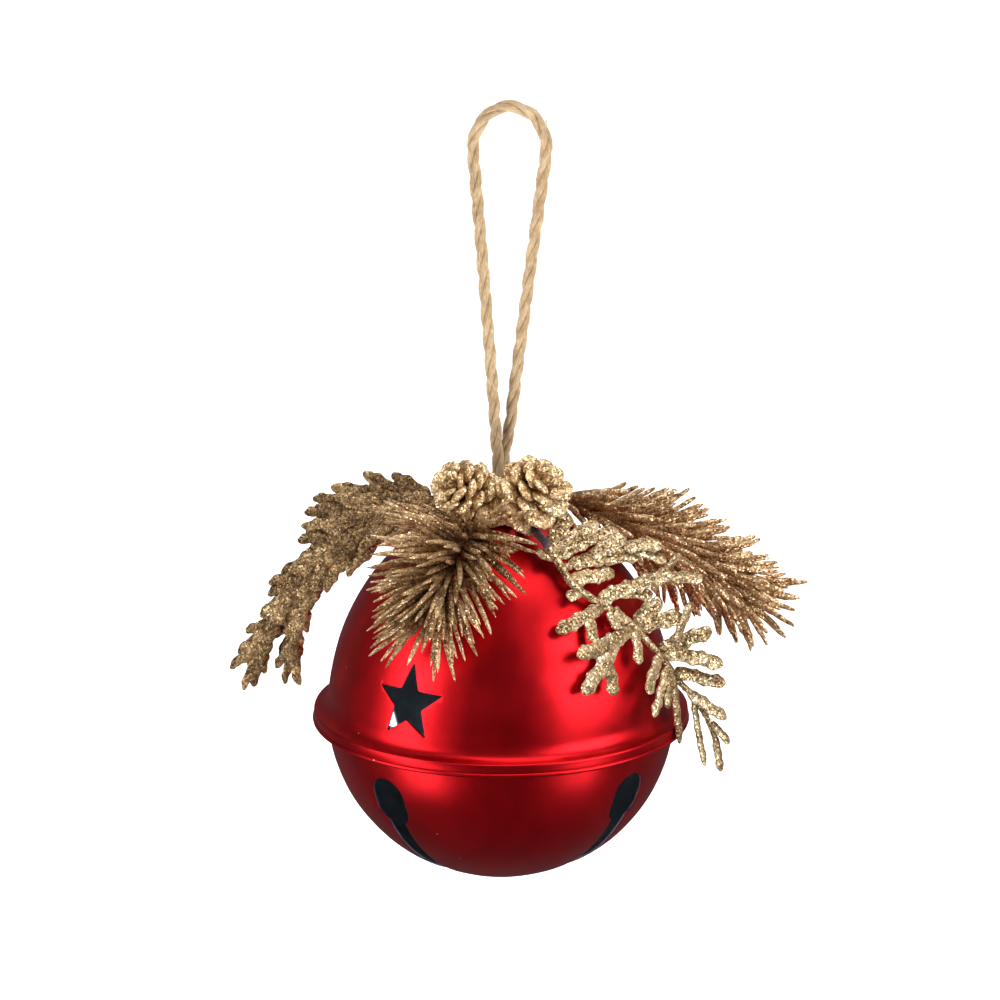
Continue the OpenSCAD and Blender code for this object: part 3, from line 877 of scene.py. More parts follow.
    def slot_saw(self, turn: float) -> bpy.types.Object:
        """Shape the saw for two opposite slots, which runs right across the bowl."""
        clear_selection()
        bpy.ops.mesh.primitive_cube_add(size=1)
        saw = bpy.context.object
        height = self.bowl_h + 5 - self.port_drop
        saw.data.transform(
            Matrix.Rotation(math.radians(turn - 90), 4, "Z")
            @ Matrix.Translation((0, 0, (-self.bowl_h - 5 + height / 2) * MM))
            @ Matrix.Diagonal((2 * (self.body_r + 5) * MM, self.slot_w * MM, height * MM, 1)))
        return saw

    def wire_drill(self, side: int) -> bpy.types.Object:
        """Shape the drill for one leg of the wire eye."""
        clear_selection()
        bpy.ops.mesh.primitive_cylinder_add(
            vertices=32, radius=self.wire_hole_r * MM, depth=16 * MM,
            location=(0, side * self.wire_hole_y * MM, self.dome_h * MM))
        drill = bpy.context.object
        settle(drill)
        return drill

    def press(self, piece: bpy.types.Object) -> None:
        """Give the pressed sheet its slight waviness, fading out at the seam."""
        for vertex in piece.data.vertices:
            p = vertex.co / MM
            fade = min(1.0, max(0.0, (abs(p.z) - 7) / 10))
            out = Vector((p.x, p.y, p.z * 0.8)).normalized()
            wave = noise.noise(p / 17 + Vector((3, 1, 7))) * 0.16
            wave += noise.noise(p / 8 + Vector((9, 2, 4))) * 0.05
            vertex.co += out * wave * fade * MM

    def dress(self, piece: bpy.types.Object, finishes: Finishes) -> None:
        """Round the cut edges, lacquer the outside and leave the inside bare."""
        edit(piece)
        bpy.ops.mesh.select_all(action="SELECT")
        bpy.ops.mesh.remove_doubles(threshold=0.07 * MM)
        bpy.ops.object.mode_set(mode="OBJECT")
        apply_modifier(piece, "BEVEL", width=0.13 * MM, segments=2, limit_method="ANGLE",
                       angle_limit=math.radians(50), use_clamp_overlap=False)
        piece.data.materials.append(finishes.lacquer)
        piece.data.materials.append(finishes.sheet)
        for face in piece.data.polygons:
            p, n = face.center, face.normal
            height = self.dome_h if p.z > 0 else self.bowl_h
            depth = math.hypot(math.hypot(p.x, p.y) / self.body_r, p.z / height) / MM
            inside = n.dot(Vector((p.x, p.y, p.z))) < 0
            spigot = piece.name == "bowl_shell" and p.z > 0
            if spigot or inside and depth < 1 - 0.45 * self.wall / self.body_r:
                face.material_index = 1
        self.press(piece)
        piece.data.transform(Matrix.Translation(SEAM))
        smooth(piece, 35)

    def build(self, finishes: Finishes) -> None:
        """Press, punch and dress both shells."""
        dome = lathe("dome_shell", self.dome_outline(), self.turns)
        for k in range(self.star_count):
            cut(dome, self.star_punch(self.star_turn + 360 * k / self.star_count))
        for side in (-1, 1):
            cut(dome, self.wire_drill(side))
        self.dress(dome, finishes)
        tell(dome, Rider.BELL, "red_paint", "upper_shell")
        bowl = lathe("bowl_shell", self.bowl_outline(), self.turns)
        for k in range(self.slot_count):
            cut(bowl, self.port_punch(self.slot_turn + 360 * k / self.slot_count))
        for k in range(self.slot_count // 2):
            cut(bowl, self.slot_saw(self.slot_turn + 360 * k / self.slot_count))
        self.dress(bowl, finishes)
        tell(bowl, Rider.BELL, "red_paint", "lower_shell")


@dataclass
class SmallMetal:
    """The loose ball and the wire eye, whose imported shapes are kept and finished."""

    def build(self, finishes: Finishes) -> None:
        """Finish the ball and the eye."""
        for node, finish in (("clapper_ball", finishes.steel), ("hanger_eye", finishes.wire)):
            piece = frame["nodes"][node]
            piece.data.materials.clear()
            piece.data.materials.append(finish)
            log.info("%s finished", node)


# ---------------------------------------------------------------------------------------------
# Sprigs
# ---------------------------------------------------------------------------------------------


def outward(place: Vector) -> Vector:
    """Return the dome's outward direction under a point."""
    p = (place - SEAM) / MM
    return Vector((p.x / 46 ** 2, p.y / 46 ** 2, p.z / 55 ** 2)).normalized()


def blade(name: str, rings: Sequence[tuple[float, float, float]], corners: int,
          flat: float, curl: float) -> bpy.types.Object:
    """Model a leaf along +Z by extruding a flattened ring from its base to its tip.

    Args:
        name: the pattern's name.
        rings: share of the length, half width and sideways drift of each ring.
        corners: corners of the ring.
        flat: thickness as a share of the width.
        curl: how far the tip bends towards +Y, as a share of the length.

    Returns:
        The leaf, one unit long.
    """
    clear_selection()
    bpy.ops.mesh.primitive_circle_add(vertices=corners, radius=1, fill_type="NGON")
    leaf = bpy.context.object
    leaf.name = name
    bpy.ops.object.mode_set(mode="EDIT")
    bpy.ops.mesh.select_all(action="SELECT")
    start, width, drift = rings[0]
    bpy.ops.transform.resize(value=(width, width * flat, 1), center_override=(0, 0, 0))
    bpy.ops.transform.translate(value=(drift, curl * start ** 2, start))
    for (z0, w0, d0), (z1, w1, d1) in zip(rings, rings[1:]):
        rise = curl * (z1 ** 2 - z0 ** 2)
        bpy.ops.mesh.extrude_region_move(
            TRANSFORM_OT_translate={"value": (d1 - d0, rise, z1 - z0)})
        centre = (d1, curl * z1 ** 2, z1)
        bpy.ops.transform.resize(value=(w1 / w0, w1 / w0, 1), center_override=centre)
    bpy.ops.object.mode_set(mode="OBJECT")
    point_outwards(leaf)
    return leaf


@dataclass
class PineTip:
    """A moulded pine tip: a stem with thick glittered needles all round its outer side."""

    name: str
    nodes: tuple[str, str]
    slot: str
    core: Sequence[Point]
    stem: Sequence[Point]
    rows: int
    per_row: int
    needle_l: float
    needle_d: float
    lean_base: float
    lean_tip: float
    fan: float
    seed: int
    blunt: bool = False
    side_limit: float = 100
    top_limit: float = 80

    def needle_pattern(self, curl: float) -> bpy.types.Object:
        """Model one needle, pointed or blunt."""
        w = self.needle_d / self.needle_l / 2
        end = ((0.9, w * 0.95, 0.0), (0.98, w * 0.6, 0.0), (1.0, w * 0.2, 0.0)) if self.blunt else (
            (0.84, w * 0.8, 0.0), (0.95, w * 0.46, 0.0), (1.0, w * 0.1, 0.0))
        rings = ((0.0, w * 0.6, 0.0), (0.14, w * 0.9, 0.0), (0.38, w * 1.05, 0.0),
                 (0.62, w, 0.0), *end)
        return blade("needle", rings, 6, 0.86, curl)

    def placings(self) -> Iterable[tuple[Matrix, float]]:
        """Yield each needle's place and its random starting tone."""
        rng = random.Random(self.seed)
        line = smooth_route([in_bell(*p) for p in self.core], 0.4 * MM)
        last = len(line) - 2
        for row in range(self.rows):
            u = (row + 0.35) / self.rows
            k = min(last, int(u * last))
            base, along = line[k], (line[k + 1] - line[k]).normalized()
            side = along.cross(outward(base)).normalized()
            out = side.cross(along)
            lean = math.radians(self.lean_base + (self.lean_tip - self.lean_base) * u)
            for j in range(self.per_row):
                f = math.radians(-self.fan + 2 * self.fan * (j + (row % 2) * 0.5 + 0.1)
                                 / (self.per_row - 0.4)) + rng.uniform(-0.12, 0.12)
                tip = lean + rng.uniform(-0.13, 0.13)
                spread = out * math.cos(f) + side * math.sin(f)
                way = along * math.cos(tip) + spread * math.sin(tip)
                length = self.needle_l * rng.uniform(0.84, 1.05) * (1 - 0.12 * u) * MM
                thick = rng.uniform(0.88, 1.14)
                facing = along if math.sin(tip) > 0.3 else out
                scale = Vector((length * thick, length * thick, length))
                end = (base + way * length - SEAM) / MM
                tone = rng.uniform(0.05, 0.8)
                clear = (end.x / 48) ** 2 + (end.y / 48) ** 2 + (end.z / 57) ** 2 > 1
                below = end.z + 0.28 * end.y < self.top_limit
                if clear and below and end.x < self.side_limit:
                    yield aim(base, way, facing, scale), tone

    def build(self, finish: bpy.types.Material, tape: bpy.types.Material) -> None:
        """Make the needles on their core, and the taped stem."""
        patterns = [self.needle_pattern(curl) for curl in (-0.05, 0.04, 0.1)]
        copies = []
        for k, (place, tone) in enumerate(self.placings()):
            twin = copy_to(patterns[k % 3], place)
            start = place.translation
            length = place.to_scale().z
            # each needle is painted darker at its foot, where the needles crowd round the stem, and
            # lighter towards its tip: painted shade and painted highlight over a random tone
            paint_tone_and_shade(twin, lambda p, s=start, n=length, t=tone: t
                       + 0.35 * ((p - s).length / n) - 0.12)
            copies.append(twin)
        for pattern in patterns:
            remove(pattern)
        line = smooth_route([in_bell(*p) for p in self.core], 0.8 * MM)
        core = tube("core", [line], 1.7 * MM, lambda share, k: 1 - 0.55 * share, 2)
        paint_tone_and_shade(core, lambda p: 0.25)
        tip = merge([core, *copies], self.name)
        tip.data.materials.clear()
        tip.data.materials.append(finish)
        apply_modifier(tip, "SUBSURF", levels=1, render_levels=1)
        roughen(tip, 0.16 * MM, 0.7 * MM)
        smooth(tip, 70)
        tell(tip, Rider.BELL, self.slot, self.nodes[1])
        taped_stem(f"{self.name}_stem", self.stem, tape, self.nodes[0])


def taped_stem(name: str, run: Sequence[Point], tape: bpy.types.Material, node: str,
               radius: float = 1.1) -> None:
    """Wrap one stem in tape, with the tape's edge climbing round it.

    Args:
        name: the piece's name.
        run: the stem's route in the bell's frame, in millimetres.
        tape: its finish.
        node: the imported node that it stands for.
        radius: its radius in millimetres.
    """
    line = smooth_route([in_bell(*p) for p in run], 0.35 * MM)
    stem = tube(name, [line], radius * MM,
                lambda share, k: (0.96 + 0.1 * ((k % 6) / 6)) * (0.8 if share in (0, 1) else 1), 3)
    stem.data.materials.clear()
    stem.data.materials.append(tape)
    smooth(stem, 50)
    tell(stem, Rider.BELL, "floral_tape", node)


@dataclass(frozen=True)
class Lobe:
    """One flat lobe of a cedar spray, from its foot to its end."""

    foot: Vector
    end: Vector
    share: float
    tone: float


@dataclass(frozen=True)
class Feathering:
    """Pairs of lobes along a rib: how many, from which share of it, how long and how spread."""

    rib: Sequence[Point]
    pairs: int
    first: float
    length: float
    share: float
    spread: float = 34


@dataclass
class CedarSpray:
    """A moulded cedar spray: bowed ribs with flat scaly lobes on both sides."""

    name: str
    nodes: tuple[str, str]
    slot: str
    ribs: Sequence[Sequence[Point]]
    stem: Sequence[Point]
    lobes: Sequence[tuple[Point, Point, float]] = ()
    feathers: Sequence[Feathering] = ()
    lobe_w: float = 3.9
    lobe_t: float = 1.7
    point: float = 0.0
    facing: Point | None = None
    seed: int = 5

    def lobe_pattern(self, length: float, curl: float, lean: float) -> bpy.types.Object:
        """Model one lobe for a given length: narrow foot, scale by scale, and a blunt end."""
        w = self.lobe_w / 2 / length
        rings = [(0.0, w * 0.55, 0.0), (0.1, w * 0.8, 0.0)]
        scales = max(2, round(length / 3.2))
        for k in range(scales):
            z0, z1 = 0.1 + 0.8 * k / scales, 0.1 + 0.8 * (k + 1) / scales
            side = w * 0.14 * (1 if k % 2 else -1)
            rings += [((z0 * 2 + z1) / 3, w * 1.04, side), ((z0 + z1 * 2) / 3, w * 1.08, side),
                      (z1, w * 0.9, 0.0)]
        rings += [(0.96, w * 0.6, 0.0), (1.0, w * 0.26, 0.0)]
        rings = [(z, half * (1 - self.point * z * z), drift + lean * z * z)
                 for z, half, drift in rings]
        return blade("lobe", rings, 10, self.lobe_t / self.lobe_w, curl)

    def placings(self) -> Iterable[Lobe]:
        """Yield every lobe: the ones set one by one, then the pairs along the ribs."""
        rng = random.Random(self.seed)
        for foot, end, share in self.lobes:
            yield Lobe(in_bell(*foot), in_bell(*end), share, rng.uniform(0.3, 0.75))
        for feathers in self.feathers:
            line = smooth_route([in_bell(*p) for p in feathers.rib], 0.4 * MM)
            last = len(line) - 2
            for k in range(feathers.pairs):
                for side, late in ((-1, 0.0), (1, 0.5)):
                    u = feathers.first + (0.97 - feathers.first) * (k + late) / feathers.pairs
                    at = min(last, int(u * last))
                    along = (line[at + 1] - line[at]).normalized()
                    flat = self.face(line[at]).cross(along).normalized() * side
                    spread = math.radians(feathers.spread + rng.uniform(-9, 9))
                    way = along * math.cos(spread) + flat * math.sin(spread)
                    way += self.face(line[at]) * rng.uniform(-0.12, 0.16)
                    reach = feathers.length * rng.uniform(0.86, 1.1) * MM
                    yield Lobe(line[at], line[at] + way * reach, feathers.share,
                               rng.uniform(0.15, 0.8))
            back = (line[-1] - line[-8]).normalized() * feathers.length * MM
            yield Lobe(line[-1] - back * 0.4, line[-1] + back * 0.6, feathers.share * 0.85, 0.5)

    def face(self, place: Vector) -> Vector:
        """Return the way that a lobe at a place faces."""
        return Vector(self.facing).normalized() if self.facing else outward(place)

    def build(self, finish: bpy.types.Material, tape: bpy.types.Material) -> None:
        """Make the spray and its taped stem."""
        rng = random.Random(self.seed + 1)
        copies = []
        for lobe in self.placings():
            run = lobe.end - lobe.foot
            length, middle = run.length, lobe.foot.lerp(lobe.end, 0.5)
            pattern = self.lobe_pattern(length / MM, rng.uniform(-0.05, 0.08),
                                        rng.uniform(-0.08, 0.08))
            facing = self.face(middle)
            stretch = Vector((length * lobe.share, length * lobe.share, length))
            pattern.data.transform(aim(lobe.foot, run, facing, stretch))
            half = self.lobe_w * lobe.share / 2 * MM
            flat = run.normalized().cross(facing).normalized()
            # each lobe is painted darker along its middle and paler towards its edges: painted
            # shade in the middle groove and painted highlight on the rims, over a random tone
            paint_tone_and_shade(pattern, lambda p, m=middle, f=flat, h=half, t=lobe.tone: t - 0.34
                       + 0.62 * min(1.0, abs((p - m).dot(f)) / h) ** 2)
            copies.append(pattern)
        lines = [smooth_route([in_bell(*p) for p in rib], 0.7 * MM) for rib in self.ribs]
        rib = tube("rib", lines, 1.2 * MM, lambda share, k: 1 - 0.3 * share, 2)
        paint_tone_and_shade(rib, lambda p: 0.3)
        spray = merge([rib, *copies], self.name)
        spray.data.materials.clear()
        spray.data.materials.append(finish)
        apply_modifier(spray, "SUBSURF", levels=1, render_levels=1)
        roughen(spray, 0.2 * MM, 0.8 * MM)
        smooth(spray, 70)
        tell(spray, Rider.BELL, self.slot, self.nodes[1])
        taped_stem(f"{self.name}_stem", self.stem, tape, self.nodes[0])


@dataclass
class SmallCone:
    """A small natural cone: overlapping rounded scales on a core, in a spiral."""

    name: str
    nodes: tuple[str, str]
    base: Point
    tip: Point
    diameter: float
    length: float
    stalk: Sequence[Point]
    scales: int = 36
    seed: int = 3

    def scale_pattern(self) -> bpy.types.Object:
        """Model one scale: a cupped, rounded plate with a thick lip."""
        rings = ((0.0, 0.2, 0.0), (0.25, 0.36, 0.0), (0.5, 0.5, 0.0), (0.72, 0.52, 0.0),
                 (0.9, 0.4, 0.0), (1.0, 0.2, 0.0))
        return blade("scale", rings, 10, 0.42, 0.35)

    def build(self, finish: bpy.types.Material, tape: bpy.types.Material) -> None:
        """Make the cone and its taped stalk."""
        rng = random.Random(self.seed)
        base, tip = in_bell(*self.base), in_bell(*self.tip)
        axis = (tip - base).normalized()
        side = axis.orthogonal().normalized()
        other = axis.cross(side)
        pattern = self.scale_pattern()
        copies = []
        for k in range(self.scales):
            u = (k + 0.5) / self.scales
            turn = k * 2.39996
            out = side * math.cos(turn) + other * math.sin(turn)
            swell = math.sin(math.pi * min(1.0, 0.12 + 0.86 * u)) ** 0.55
            root = base + axis * self.length * MM * u * 0.86
            root += out * 0.22 * self.diameter * MM * swell
            open_angle = math.radians(62 - 44 * u)
            way = axis * math.cos(open_angle) + out * math.sin(open_angle)
            size = self.diameter * (0.22 + 0.22 * swell) * rng.uniform(0.85, 1.15) * MM
            place = aim(root, way, out - axis * 0.4, Vector((size * 1.05, size, size)))
            twin = copy_to(pattern, place)
            shade = rng.uniform(0.2, 0.85)
            # each scale is painted darker at its root, under the scales above it, and lighter
            # towards its open tip: painted shade and painted highlight over a random tone
            paint_tone_and_shade(twin, lambda p, r=root, n=size, t=shade: t - 0.3 + 0.75 * (p - r).length / n)
            copies.append(twin)
        remove(pattern)
        line = [base + axis * self.length * MM * k / 12 for k in range(13)]
        core = tube("core", [line], self.diameter * 0.3 * MM,
                    lambda share, k: math.sin(math.pi * (0.12 + 0.8 * share)) ** 0.6, 3)
        # the core, seen only in the gaps between the scales, gets the darkest tone: painted shade
        paint_tone_and_shade(core, lambda p: 0.0)
        cone = merge([core, *copies], self.name)
        cone.data.materials.clear()
        cone.data.materials.append(finish)
        apply_modifier(cone, "SUBSURF", levels=1, render_levels=1)
        roughen(cone, 0.45 * MM, 1.1 * MM)
        smooth(cone, 70)
        tell(cone, Rider.BELL, "cone_gold", self.nodes[1])
        taped_stem(f"{self.name}_stalk", self.stalk, tape, self.nodes[0])


@dataclass
class StemBinding:
    """Floral tape wound round the foot of the eye, over the ends of the stems."""

    ring_r: float = 8.6
    tape_r: float = 1.95
    height: float = 56.0
    wraps: int = 19

    def build(self, finishes: Finishes) -> None:
        """Wind the tape."""
        clear_selection()
        bpy.ops.mesh.primitive_torus_add(major_radius=self.ring_r * MM,
                                         minor_radius=self.tape_r * MM,
                                         major_segments=228, minor_segments=28)
        ring = bpy.context.object
        ring.name = "tape_binding"
        for vertex in ring.data.vertices:
            p = vertex.co / MM
            round_angle = math.atan2(p.y, p.x)
            out = Vector((math.cos(round_angle), math.sin(round_angle), 0)) * self.ring_r
            small = p - out
            tilt = math.atan2(small.z, math.hypot(p.x, p.y) - self.ring_r)
            step = (round_angle / math.tau * self.wraps + tilt / math.tau) % 1
            size = 0.9 + 0.16 * step + 0.05 * noise.noise(p * 0.8)
            vertex.co = (out + small * size) * MM
        ring.data.transform(Matrix.Translation(SEAM + Vector((0, 0, self.height * MM))))
        ring.data.materials.append(finishes.tape)
        smooth(ring, 60)
        tell(ring, Rider.BELL, "floral_tape", "stem_binding")


# ---------------------------------------------------------------------------------------------
# The dressing's routes, in millimetres from the middle of the seam
# ---------------------------------------------------------------------------------------------

PINE_FRONT = PineTip(
    name="front_pine", nodes=("pine_front_stem", "pine_front_needles"), slot="gold_glitter",
    core=((-3.7, -15.6, 57.9), (-8, -24, 55), (-12.5, -31.5, 49), (-17, -38, 40)),
    stem=((-2.4, -6.9, 56.6), (-3, -11, 56.6), (-3.5, -15, 58), (-3.9, -16.5, 57.5)),
    rows=19, per_row=13, needle_l=24.5, needle_d=1.9, lean_base=88, lean_tip=28, fan=106,
    seed=21, side_limit=10, top_limit=58.5)
PINE_RIGHT = PineTip(
    name="right_pine", nodes=("pine_right_stem", "pine_right_needles"), slot="copper_glitter",
    core=((14, 6, 57), (27, 4.5, 52), (40, 5, 46), (53, 7, 38), (64, 8, 30)),
    stem=((6.4, 3.3, 56.4), (10.5, 4.8, 56.6), (14, 6, 57), (16, 6.5, 56.5)),
    rows=27, per_row=14, needle_l=21, needle_d=2.0, lean_base=62, lean_tip=36, fan=176, seed=8,
    blunt=True, top_limit=62)
LEFT_RIB = ((-15, 2, 57), (-19, 1.5, 57.5), (-28, 2, 56), (-39, 2, 54), (-45, 3, 48),
            (-50, 4, 40.5), (-55.5, 4, 33), (-58.5, 4, 26), (-63, 4, 19), (-66.5, 4, 10))
LEFT_BRANCH = ((-17, 1.7, 57.2), (-23, -2, 51.5), (-31, -3, 48), (-41, -2, 42.5), (-48, 0, 36),
               (-52, 1, 30), (-54.5, 2, 22), (-56.5, 2, 12))
LEFT_MIDDLE = ((-18, 1.6, 57.4), (-25, 0, 55), (-34, -1, 51), (-43, 0, 46), (-50, 1, 38),
               (-54, 2, 31))
LEFT_TOP = ((-17, 1.8, 57.3), (-24, 3, 58), (-33, 5, 58), (-42, 6, 55), (-48, 6, 50))
CEDAR_LEFT = CedarSpray(
    name="left_cedar", nodes=("cedar_left_stem", "cedar_left_fronds"), slot="gold_glitter",
    ribs=(LEFT_RIB, LEFT_BRANCH, LEFT_MIDDLE, LEFT_TOP),
    stem=((-7.2, 1.2, 56.4), (-11, 1.6, 56.6), (-15, 2, 57), (-17, 2.2, 57)),
    feathers=(Feathering(LEFT_RIB, 17, 0.05, 10.5, 1.0, 26),
              Feathering(LEFT_BRANCH, 12, 0.28, 9.5, 0.95, 26),
              Feathering(LEFT_MIDDLE, 9, 0.08, 10, 1.1, 28),
              Feathering(LEFT_TOP, 8, 0.05, 9.5, 1.05, 28)),
    point=0.45, facing=(-0.35, -0.85, 0.4), seed=31)
CEDAR_RIGHT = CedarSpray(
    name="right_cedar", nodes=("cedar_right_stem", "cedar_right_fronds"),
    slot="champagne_glitter",
    ribs=(((11, -22, 53), (15, -24.5, 47.5), (18.5, -28, 43), (24.5, -27.5, 38.5),
           (32.5, -25, 32.5), (37.5, -22.5, 26.5), (42.5, -20, 20), (46, -19, 14.5),
           (50, -19, 10), (53.5, -19, 4.5), (56.5, -19, -3)),
          ((16, -24.5, 46.5), (23, -20.5, 47.5), (32, -19, 50), (39, -19, 50.5))),
    stem=((3.2, -6.6, 56.4), (6.5, -12.5, 55.6), (11, -22, 53), (12, -23.5, 51.7)),
    lobes=(
        ((14, -23, 48.5), (9, -24, 50.5), 0.9), ((13.8, -23, 49.2), (24, -19, 54), 1.2),
        ((12, -22, 51.5), (18, -14, 57), 1.2), ((13, -22.4, 50), (24, -14, 56), 1.2),
        ((18, -20, 51), (30, -14, 54.5), 1.2),
        ((22, -20.8, 47.8), (32, -19, 53.5), 1.2), ((31, -19, 50.5), (41.5, -19, 52), 1.2),
        ((17, -23.5, 47.5), (27, -20, 47.5), 1.2), ((25, -20, 47.5), (36, -19, 48.5), 1.2),
        ((34, -19, 50), (42.5, -19, 47), 1.1), ((17.8, -26.8, 44.3), (29, -21, 43.5), 1.2),
        ((25, -27, 38.8), (34.5, -21, 41.5), 1.2), ((33, -21.5, 40.5), (44, -19, 43.5), 1.2),
        ((42, -19, 42), (52, -19, 43), 1.1), ((41, -19, 42), (46, -19, 49), 0.8),
        ((30, -22, 40), (39, -19, 37), 1.1), ((21, -27.5, 41), (16.5, -30.5, 41), 0.9),
        ((26, -28, 37), (14, -37.5, 33.5), 1.1), ((23, -31, 35), (23, -35.5, 30), 1),
        ((28, -27, 36), (29.5, -30, 31.5), 0.9), ((34, -24.8, 30.4), (19.5, -41, 26), 1.2),
        ((30, -29.4, 29), (21.5, -43, 18), 1.2), ((27, -34.5, 25), (29.5, -38.5, 17), 1.1),
        ((34.3, -24.4, 30.2), (36, -29, 22), 1), ((32, -25.5, 32), (29, -27, 36.5), 0.9),
        ((35, -23, 30.5), (47, -19, 32.5), 1.3), ((34, -23, 31.5), (42, -19.5, 36), 1.2),
        ((45, -20.5, 25), (49, -19, 36), 1.1), ((40.3, -21, 23.5), (55, -19, 27.5), 1.2),
        ((41, -20.5, 23), (58, -19, 19.5), 1.3), ((45, -19.5, 17.5), (58, -19, 12.5), 1.2),
        ((48.5, -19, 11.5), (58.5, -19, 3.5), 1.2), ((41.2, -21, 21.5), (36.5, -33, 16), 1.1),
        ((43, -20.3, 18.6), (40, -31.5, 8), 1), ((44.2, -20, 17.2), (43, -27.5, 9.5), 0.9),
        ((44.5, -20, 17.5), (46.5, -21.5, -2.5), 1), ((50, -19, 10), (52.5, -19, -9), 0.9),
        ((55, -19, 3), (59.5, -19, -3), 0.9), ((56, -19, -1), (57, -19, -10.5), 1.1)),
    lobe_w=3.6, seed=41)
CONE_LEFT = SmallCone(
    name="left_cone", nodes=("cone_left_stalk", "cone_left"), base=(-4.6, -10.4, 60.2),
    tip=(-13, -18.4, 67.2), diameter=13.2, length=14.4,
    stalk=((-5.2, -5.6, 56.4), (-4, -8.8, 59), (-5.9, -11.6, 61.3)), seed=3)
CONE_RIGHT = SmallCone(
    name="right_cone", nodes=("cone_right_stalk", "cone_right"), base=(3.4, -10.6, 59),
    tip=(10.3, -20, 67.5), diameter=15, length=18,
    stalk=((0.95, -6.9, 56.4), (1.8, -9.2, 58.6), (4.4, -11.9, 60.2)), seed=4)


# ---------------------------------------------------------------------------------------------
# Studio
# ---------------------------------------------------------------------------------------------


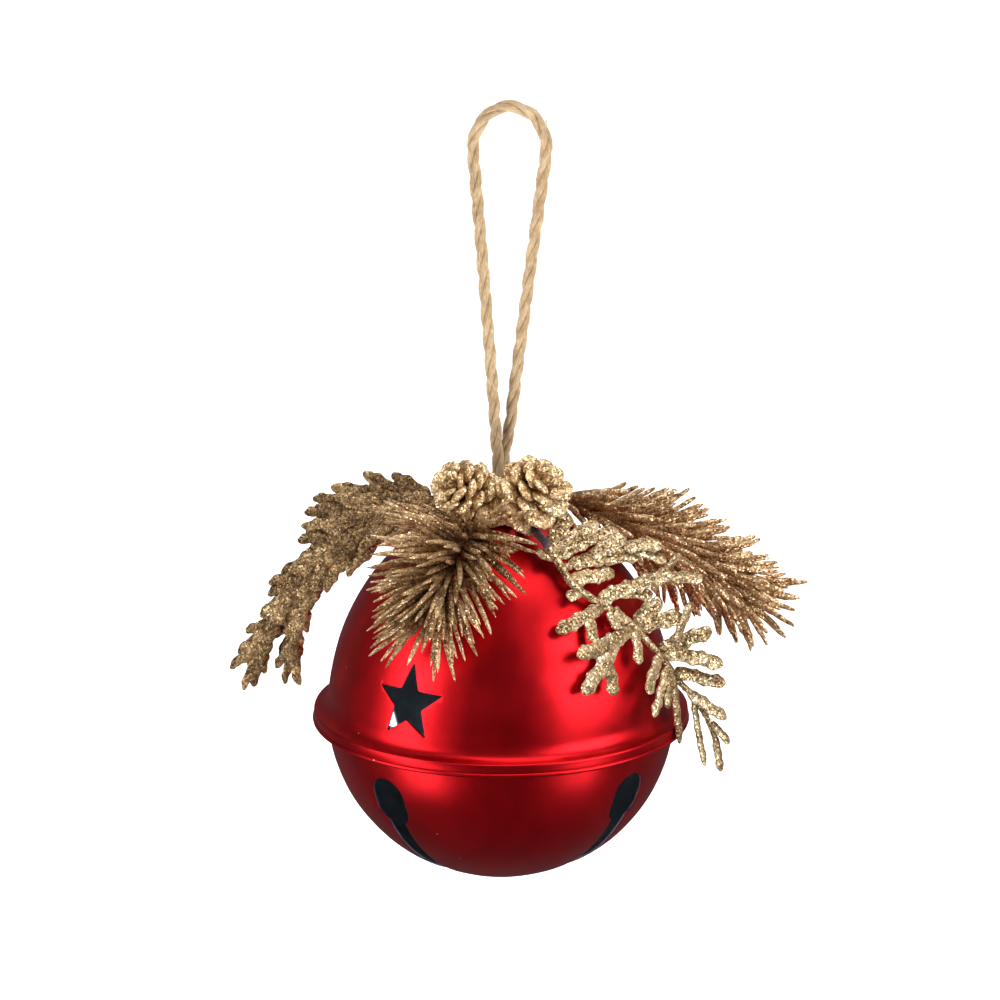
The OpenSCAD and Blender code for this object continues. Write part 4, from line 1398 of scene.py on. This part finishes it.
@dataclass
class Studio:
    """Camera, soft lights and a plain pale floor."""

    distance: float = 1.0
    elevation: float = 15.5
    lens: float = 137.6
    aim_height: float = 57.8
    shift_x: float = -0.26
    floor_z: float = -0.34
    floor_light: float = 3.7

    def camera(self) -> None:
        """Stand the camera in front of the bell, a little above it."""
        angle = math.radians(self.elevation)
        target = in_bell(self.shift_x, 0, self.aim_height)
        data = bpy.data.cameras.new("camera")
        data.lens = self.lens
        data.sensor_width = 36
        data.clip_start = 0.01
        data.clip_end = 50
        camera = bpy.data.objects.new("camera", data)
        bpy.context.collection.objects.link(camera)
        camera.location = target + Vector((0, -math.cos(angle), math.sin(angle))) * self.distance
        camera.rotation_euler = (math.pi / 2 - angle, 0, 0)
        bpy.context.scene.camera = camera

    def softbox(self, name: str, bearing: float, height: float, away: float, wide: float,
                tall: float, watts: float, colour: Point = (1, 1, 1)) -> None:
        """Stand a softbox round the bell, aimed at it.

        Args:
            name: the light's name.
            bearing: degrees from the front towards the right.
            height: degrees above the level of the bell.
            away: its distance from the bell.
            wide: its width.
            tall: its height.
            watts: its power.
            colour: its tint.
        """
        data = bpy.data.lights.new(name, "AREA")
        data.shape = "RECTANGLE"
        data.size, data.size_y = wide, tall
        data.energy = watts
        data.color = colour
        light = bpy.data.objects.new(name, data)
        bpy.context.collection.objects.link(light)
        b, h = math.radians(bearing), math.radians(height)
        way = Vector((math.sin(b) * math.cos(h), -math.cos(b) * math.cos(h), math.sin(h)))
        light.location = SEAM + Vector((0, 0, 0.03)) + way * away
        light.rotation_euler = way.to_track_quat("Z", "Y").to_euler()

    def floor(self) -> None:
        """Lay the pale floor."""
        clear_selection()
        bpy.ops.mesh.primitive_circle_add(vertices=96, radius=9, fill_type="NGON",
                                          location=(0, 0, self.floor_z))
        floor = bpy.context.object
        floor.name = "floor"
        settle(floor)
        floor.data.materials.append(Paper().build())
        floor.visible_glossy = False
        self.floor_lamp(floor)

    def floor_lamp(self, floor: bpy.types.Object) -> None:
        """Light the floor alone from straight above, so that it stays near white."""
        data = bpy.data.lights.new("floor_lamp", "SUN")
        data.energy = self.floor_light
        data.angle = math.radians(60)
        lamp = bpy.data.objects.new("floor_lamp", data)
        bpy.context.collection.objects.link(lamp)
        group = bpy.data.collections.new("floor_only")
        group.objects.link(floor)
        lamp.light_linking.receiver_collection = group

    def develop(self) -> None:
        """Show the picture's colours as they are lit."""
        bpy.context.scene.view_settings.view_transform = "Standard"

    def world(self) -> None:
        """Fill the room: pale where it is seen, dim where it lights the piece."""
        world = bpy.data.worlds.new("room")
        world.use_nodes = True
        bpy.context.scene.world = world
        nodes, links = world.node_tree.nodes, world.node_tree.links
        nodes.clear()
        seen, room = (nodes.new("ShaderNodeBackground") for _ in range(2))
        seen.inputs["Color"].default_value = (1, 1, 1, 1)
        room.inputs["Color"].default_value = (0.9, 0.95, 1, 1)
        room.inputs["Strength"].default_value = 0.1
        choice = nodes.new("ShaderNodeMixShader")
        output = nodes.new("ShaderNodeOutputWorld")
        links.new(nodes.new("ShaderNodeLightPath").outputs["Is Camera Ray"], choice.inputs[0])
        links.new(room.outputs[0], choice.inputs[1])
        links.new(seen.outputs[0], choice.inputs[2])
        links.new(choice.outputs[0], output.inputs["Surface"])

    def build(self) -> None:
        """Set up the studio."""
        self.floor()
        self.world()
        self.develop()
        self.softbox("left_window", -62, 10, 1.1, 0.5, 1.2, 11)
        self.softbox("right_window", 60, 22, 1.1, 0.75, 0.9, 12)
        self.softbox("overhead", 10, 84, 1.2, 1.2, 0.8, 8, (1, 0.98, 0.95))
        self.softbox("behind", 165, 58, 1.6, 1.2, 0.8, 6)
        self.softbox("low_left", -50, -28, 0.34, 0.14, 0.12, 0.2)
        self.softbox("low_right", 50, -26, 0.34, 0.12, 0.1, 0.12)


def main() -> None:
    """Build the ornament in order: camera, twine, bell, dressing, studio."""
    logging.basicConfig(level=logging.INFO, format="%(message)s")
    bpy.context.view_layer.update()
    studio = Studio()
    studio.camera()
    finishes = Finishes.mixed()
    TwineLoop().build(finishes)
    BellShells().build(finishes)
    SmallMetal().build(finishes)
    PINE_FRONT.build(finishes.gold, finishes.tape)
    PINE_RIGHT.build(finishes.copper, finishes.tape)
    CEDAR_LEFT.build(finishes.bronze, finishes.tape)
    CEDAR_RIGHT.build(finishes.champagne, finishes.tape)
    CONE_LEFT.build(finishes.cone, finishes.tape)
    CONE_RIGHT.build(finishes.cone, finishes.tape)
    StemBinding().build(finishes)
    studio.build()
    log.info("ornament built")


if __name__ == "__main__":
    main()
